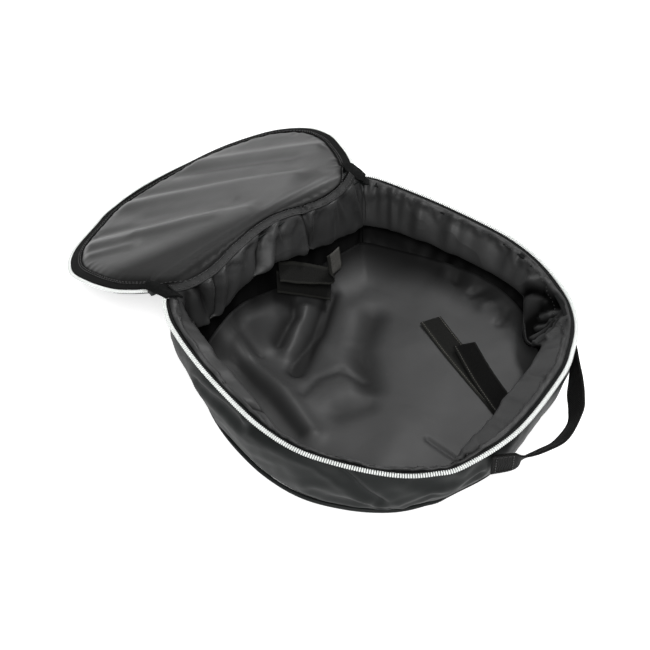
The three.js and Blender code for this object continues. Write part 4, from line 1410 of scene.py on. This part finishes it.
# Straps inside: finish and curl of each, and the columns that carry a pale thread
STRAP_FINISH = {
    "strap_long": (LOOP_TAPE, 0.3, (26, 16)), "strap_short": (HOOK_TAPE, 0.4, (26,)),
    "strap_under": (LOOP_TAPE, 0.6, (16,)), "strap_folded": (LOOP_TAPE, 0.8, ()),
}
STRAP_STEPS = 60
selvedges = (np.arange(STRAP_COLUMNS) + SELVEDGE_COLUMNS) % FACE_COLUMNS < 2 * SELVEDGE_COLUMNS
pale_rows = fade(np.linspace(0, 1, STRAP_STEPS + 1) - PALE_PILE_FROM, 0.04)
for name, rows in STRAPS.items():
    finish, curl, threads = STRAP_FINISH[name]
    path = [(x, y, floor_top(x, y) + STRAP_REST + STRAP_THICKNESS / 2 + up) for x, y, up, _ in rows]
    across = [(math.cos(math.radians(turn)), math.sin(math.radians(turn)), 0) for *_, turn in rows]
    strap = ribbon(name + "_tape", path, across, STRAP_WIDTH, STRAP_THICKNESS, STRAP_STEPS, curl)
    mark(strap, "selvedge", np.tile(selvedges, STRAP_STEPS + 1))
    if name == "strap_folded":
        mark(strap, "pale_pile", np.repeat(pale_rows, STRAP_COLUMNS))
    dress(strap, finish, "webbing", name)
    length_of(path) * MM
    for column in threads:
        edge = points_of(strap)[column::STRAP_COLUMNS]
        dress(stitches(f"{name}_thread_{column}", edge, UP, *STRAP_STITCH), PALE_THREAD, "webbing")


# Carry handle
def off_wall(x, y, z, clear):
    """Point on the rim's outward line at a place, clear of the wall at a height."""
    k = int(np.argmin(rim.distance(x, y)))
    out = wall_out(wall_share(z)[k])[k] + clear
    return (*(rim.spot[k, :2] + rim.out[k] * out), z)


handle_path = [off_wall(*HANDLE_NEAR), *[row[:3] for row in HANDLE_LOOP], off_wall(*HANDLE_FAR)]
handle_across = [UP, *[row[3:] for row in HANDLE_LOOP], UP]
handle = ribbon("carry_handle_webbing", handle_path, handle_across, HANDLE_WIDTH, HANDLE_THICKNESS, 150)
dress(handle, WEBBING, "webbing", "carry_handle")
length_of(handle_path) * MM

# Box of stitches at each sewn end, between two columns of the outer face and two rows
handle_points = points_of(handle).reshape(-1, STRAP_COLUMNS, 3)
for name, first, last in (("handle_stitches_near", 3, 17), ("handle_stitches_far", -18, -4)):
    rows = np.arange(first, last)
    box = np.vstack([
        handle_points[rows, 2], handle_points[rows[-1], 3:11],
        handle_points[rows[::-1], 11], handle_points[rows[0], 10:1:-1],
    ])
    out = unit(handle_points[rows[7], 6] - handle_points[rows[7], 20])
    dress(stitches(name, box, out, *HANDLE_STITCH), BLACK_THREAD, "webbing")

# Stage
FLOOR_HALF = 8000
floor_corners = [(x * FLOOR_HALF, y * FLOOR_HALF, 0) for x, y in ((-1, -1), (1, -1), (1, 1), (-1, 1))]
studio_floor = new_piece("studio_floor", floor_corners, [(0, 1, 2, 3)])
pale = Finish("studio_floor")
paint = pale.add("BsdfPrincipled", sockets={
    "Base Color": (0.93, 0.93, 0.93, 1), "Roughness": 0.9,
    "Emission Color": (1, 1, 1, 1), "Emission Strength": 0.65,
})
pale.add("OutputMaterial", sockets={"Surface": paint})
studio_floor.data.materials.append(pale.material)

world = bpy.data.worlds.new("studio")
world.use_nodes = True
backdrop = world.node_tree.nodes["Background"]
backdrop.inputs["Color"].default_value = (1, 1, 1, 1)
backdrop.inputs["Strength"].default_value = 0.16
bpy.context.scene.world = world

# Lights: place, aim, size in metres, power
LIGHTS = [
    ("back_softbox", (0.7, 1.7, 1.0), (0, 0.1, 0.05), 1.2, 10),
    ("top_softbox", (0.85, 0.1, 1.65), (0, 0, 0), 0.55, 21),
    ("front_softbox", (-0.9, -0.8, 1.5), (0, 0, 0.05), 0.9, 28),
]
for name, spot, aim, size, power in LIGHTS:
    lamp = bpy.data.lights.new(name, "AREA")
    lamp.shape = "DISK"
    lamp.size = size
    lamp.energy = power
    stand(name, lamp, spot, Vector(aim) - Vector(spot))
bpy.context.scene.view_settings.view_transform = "Standard"
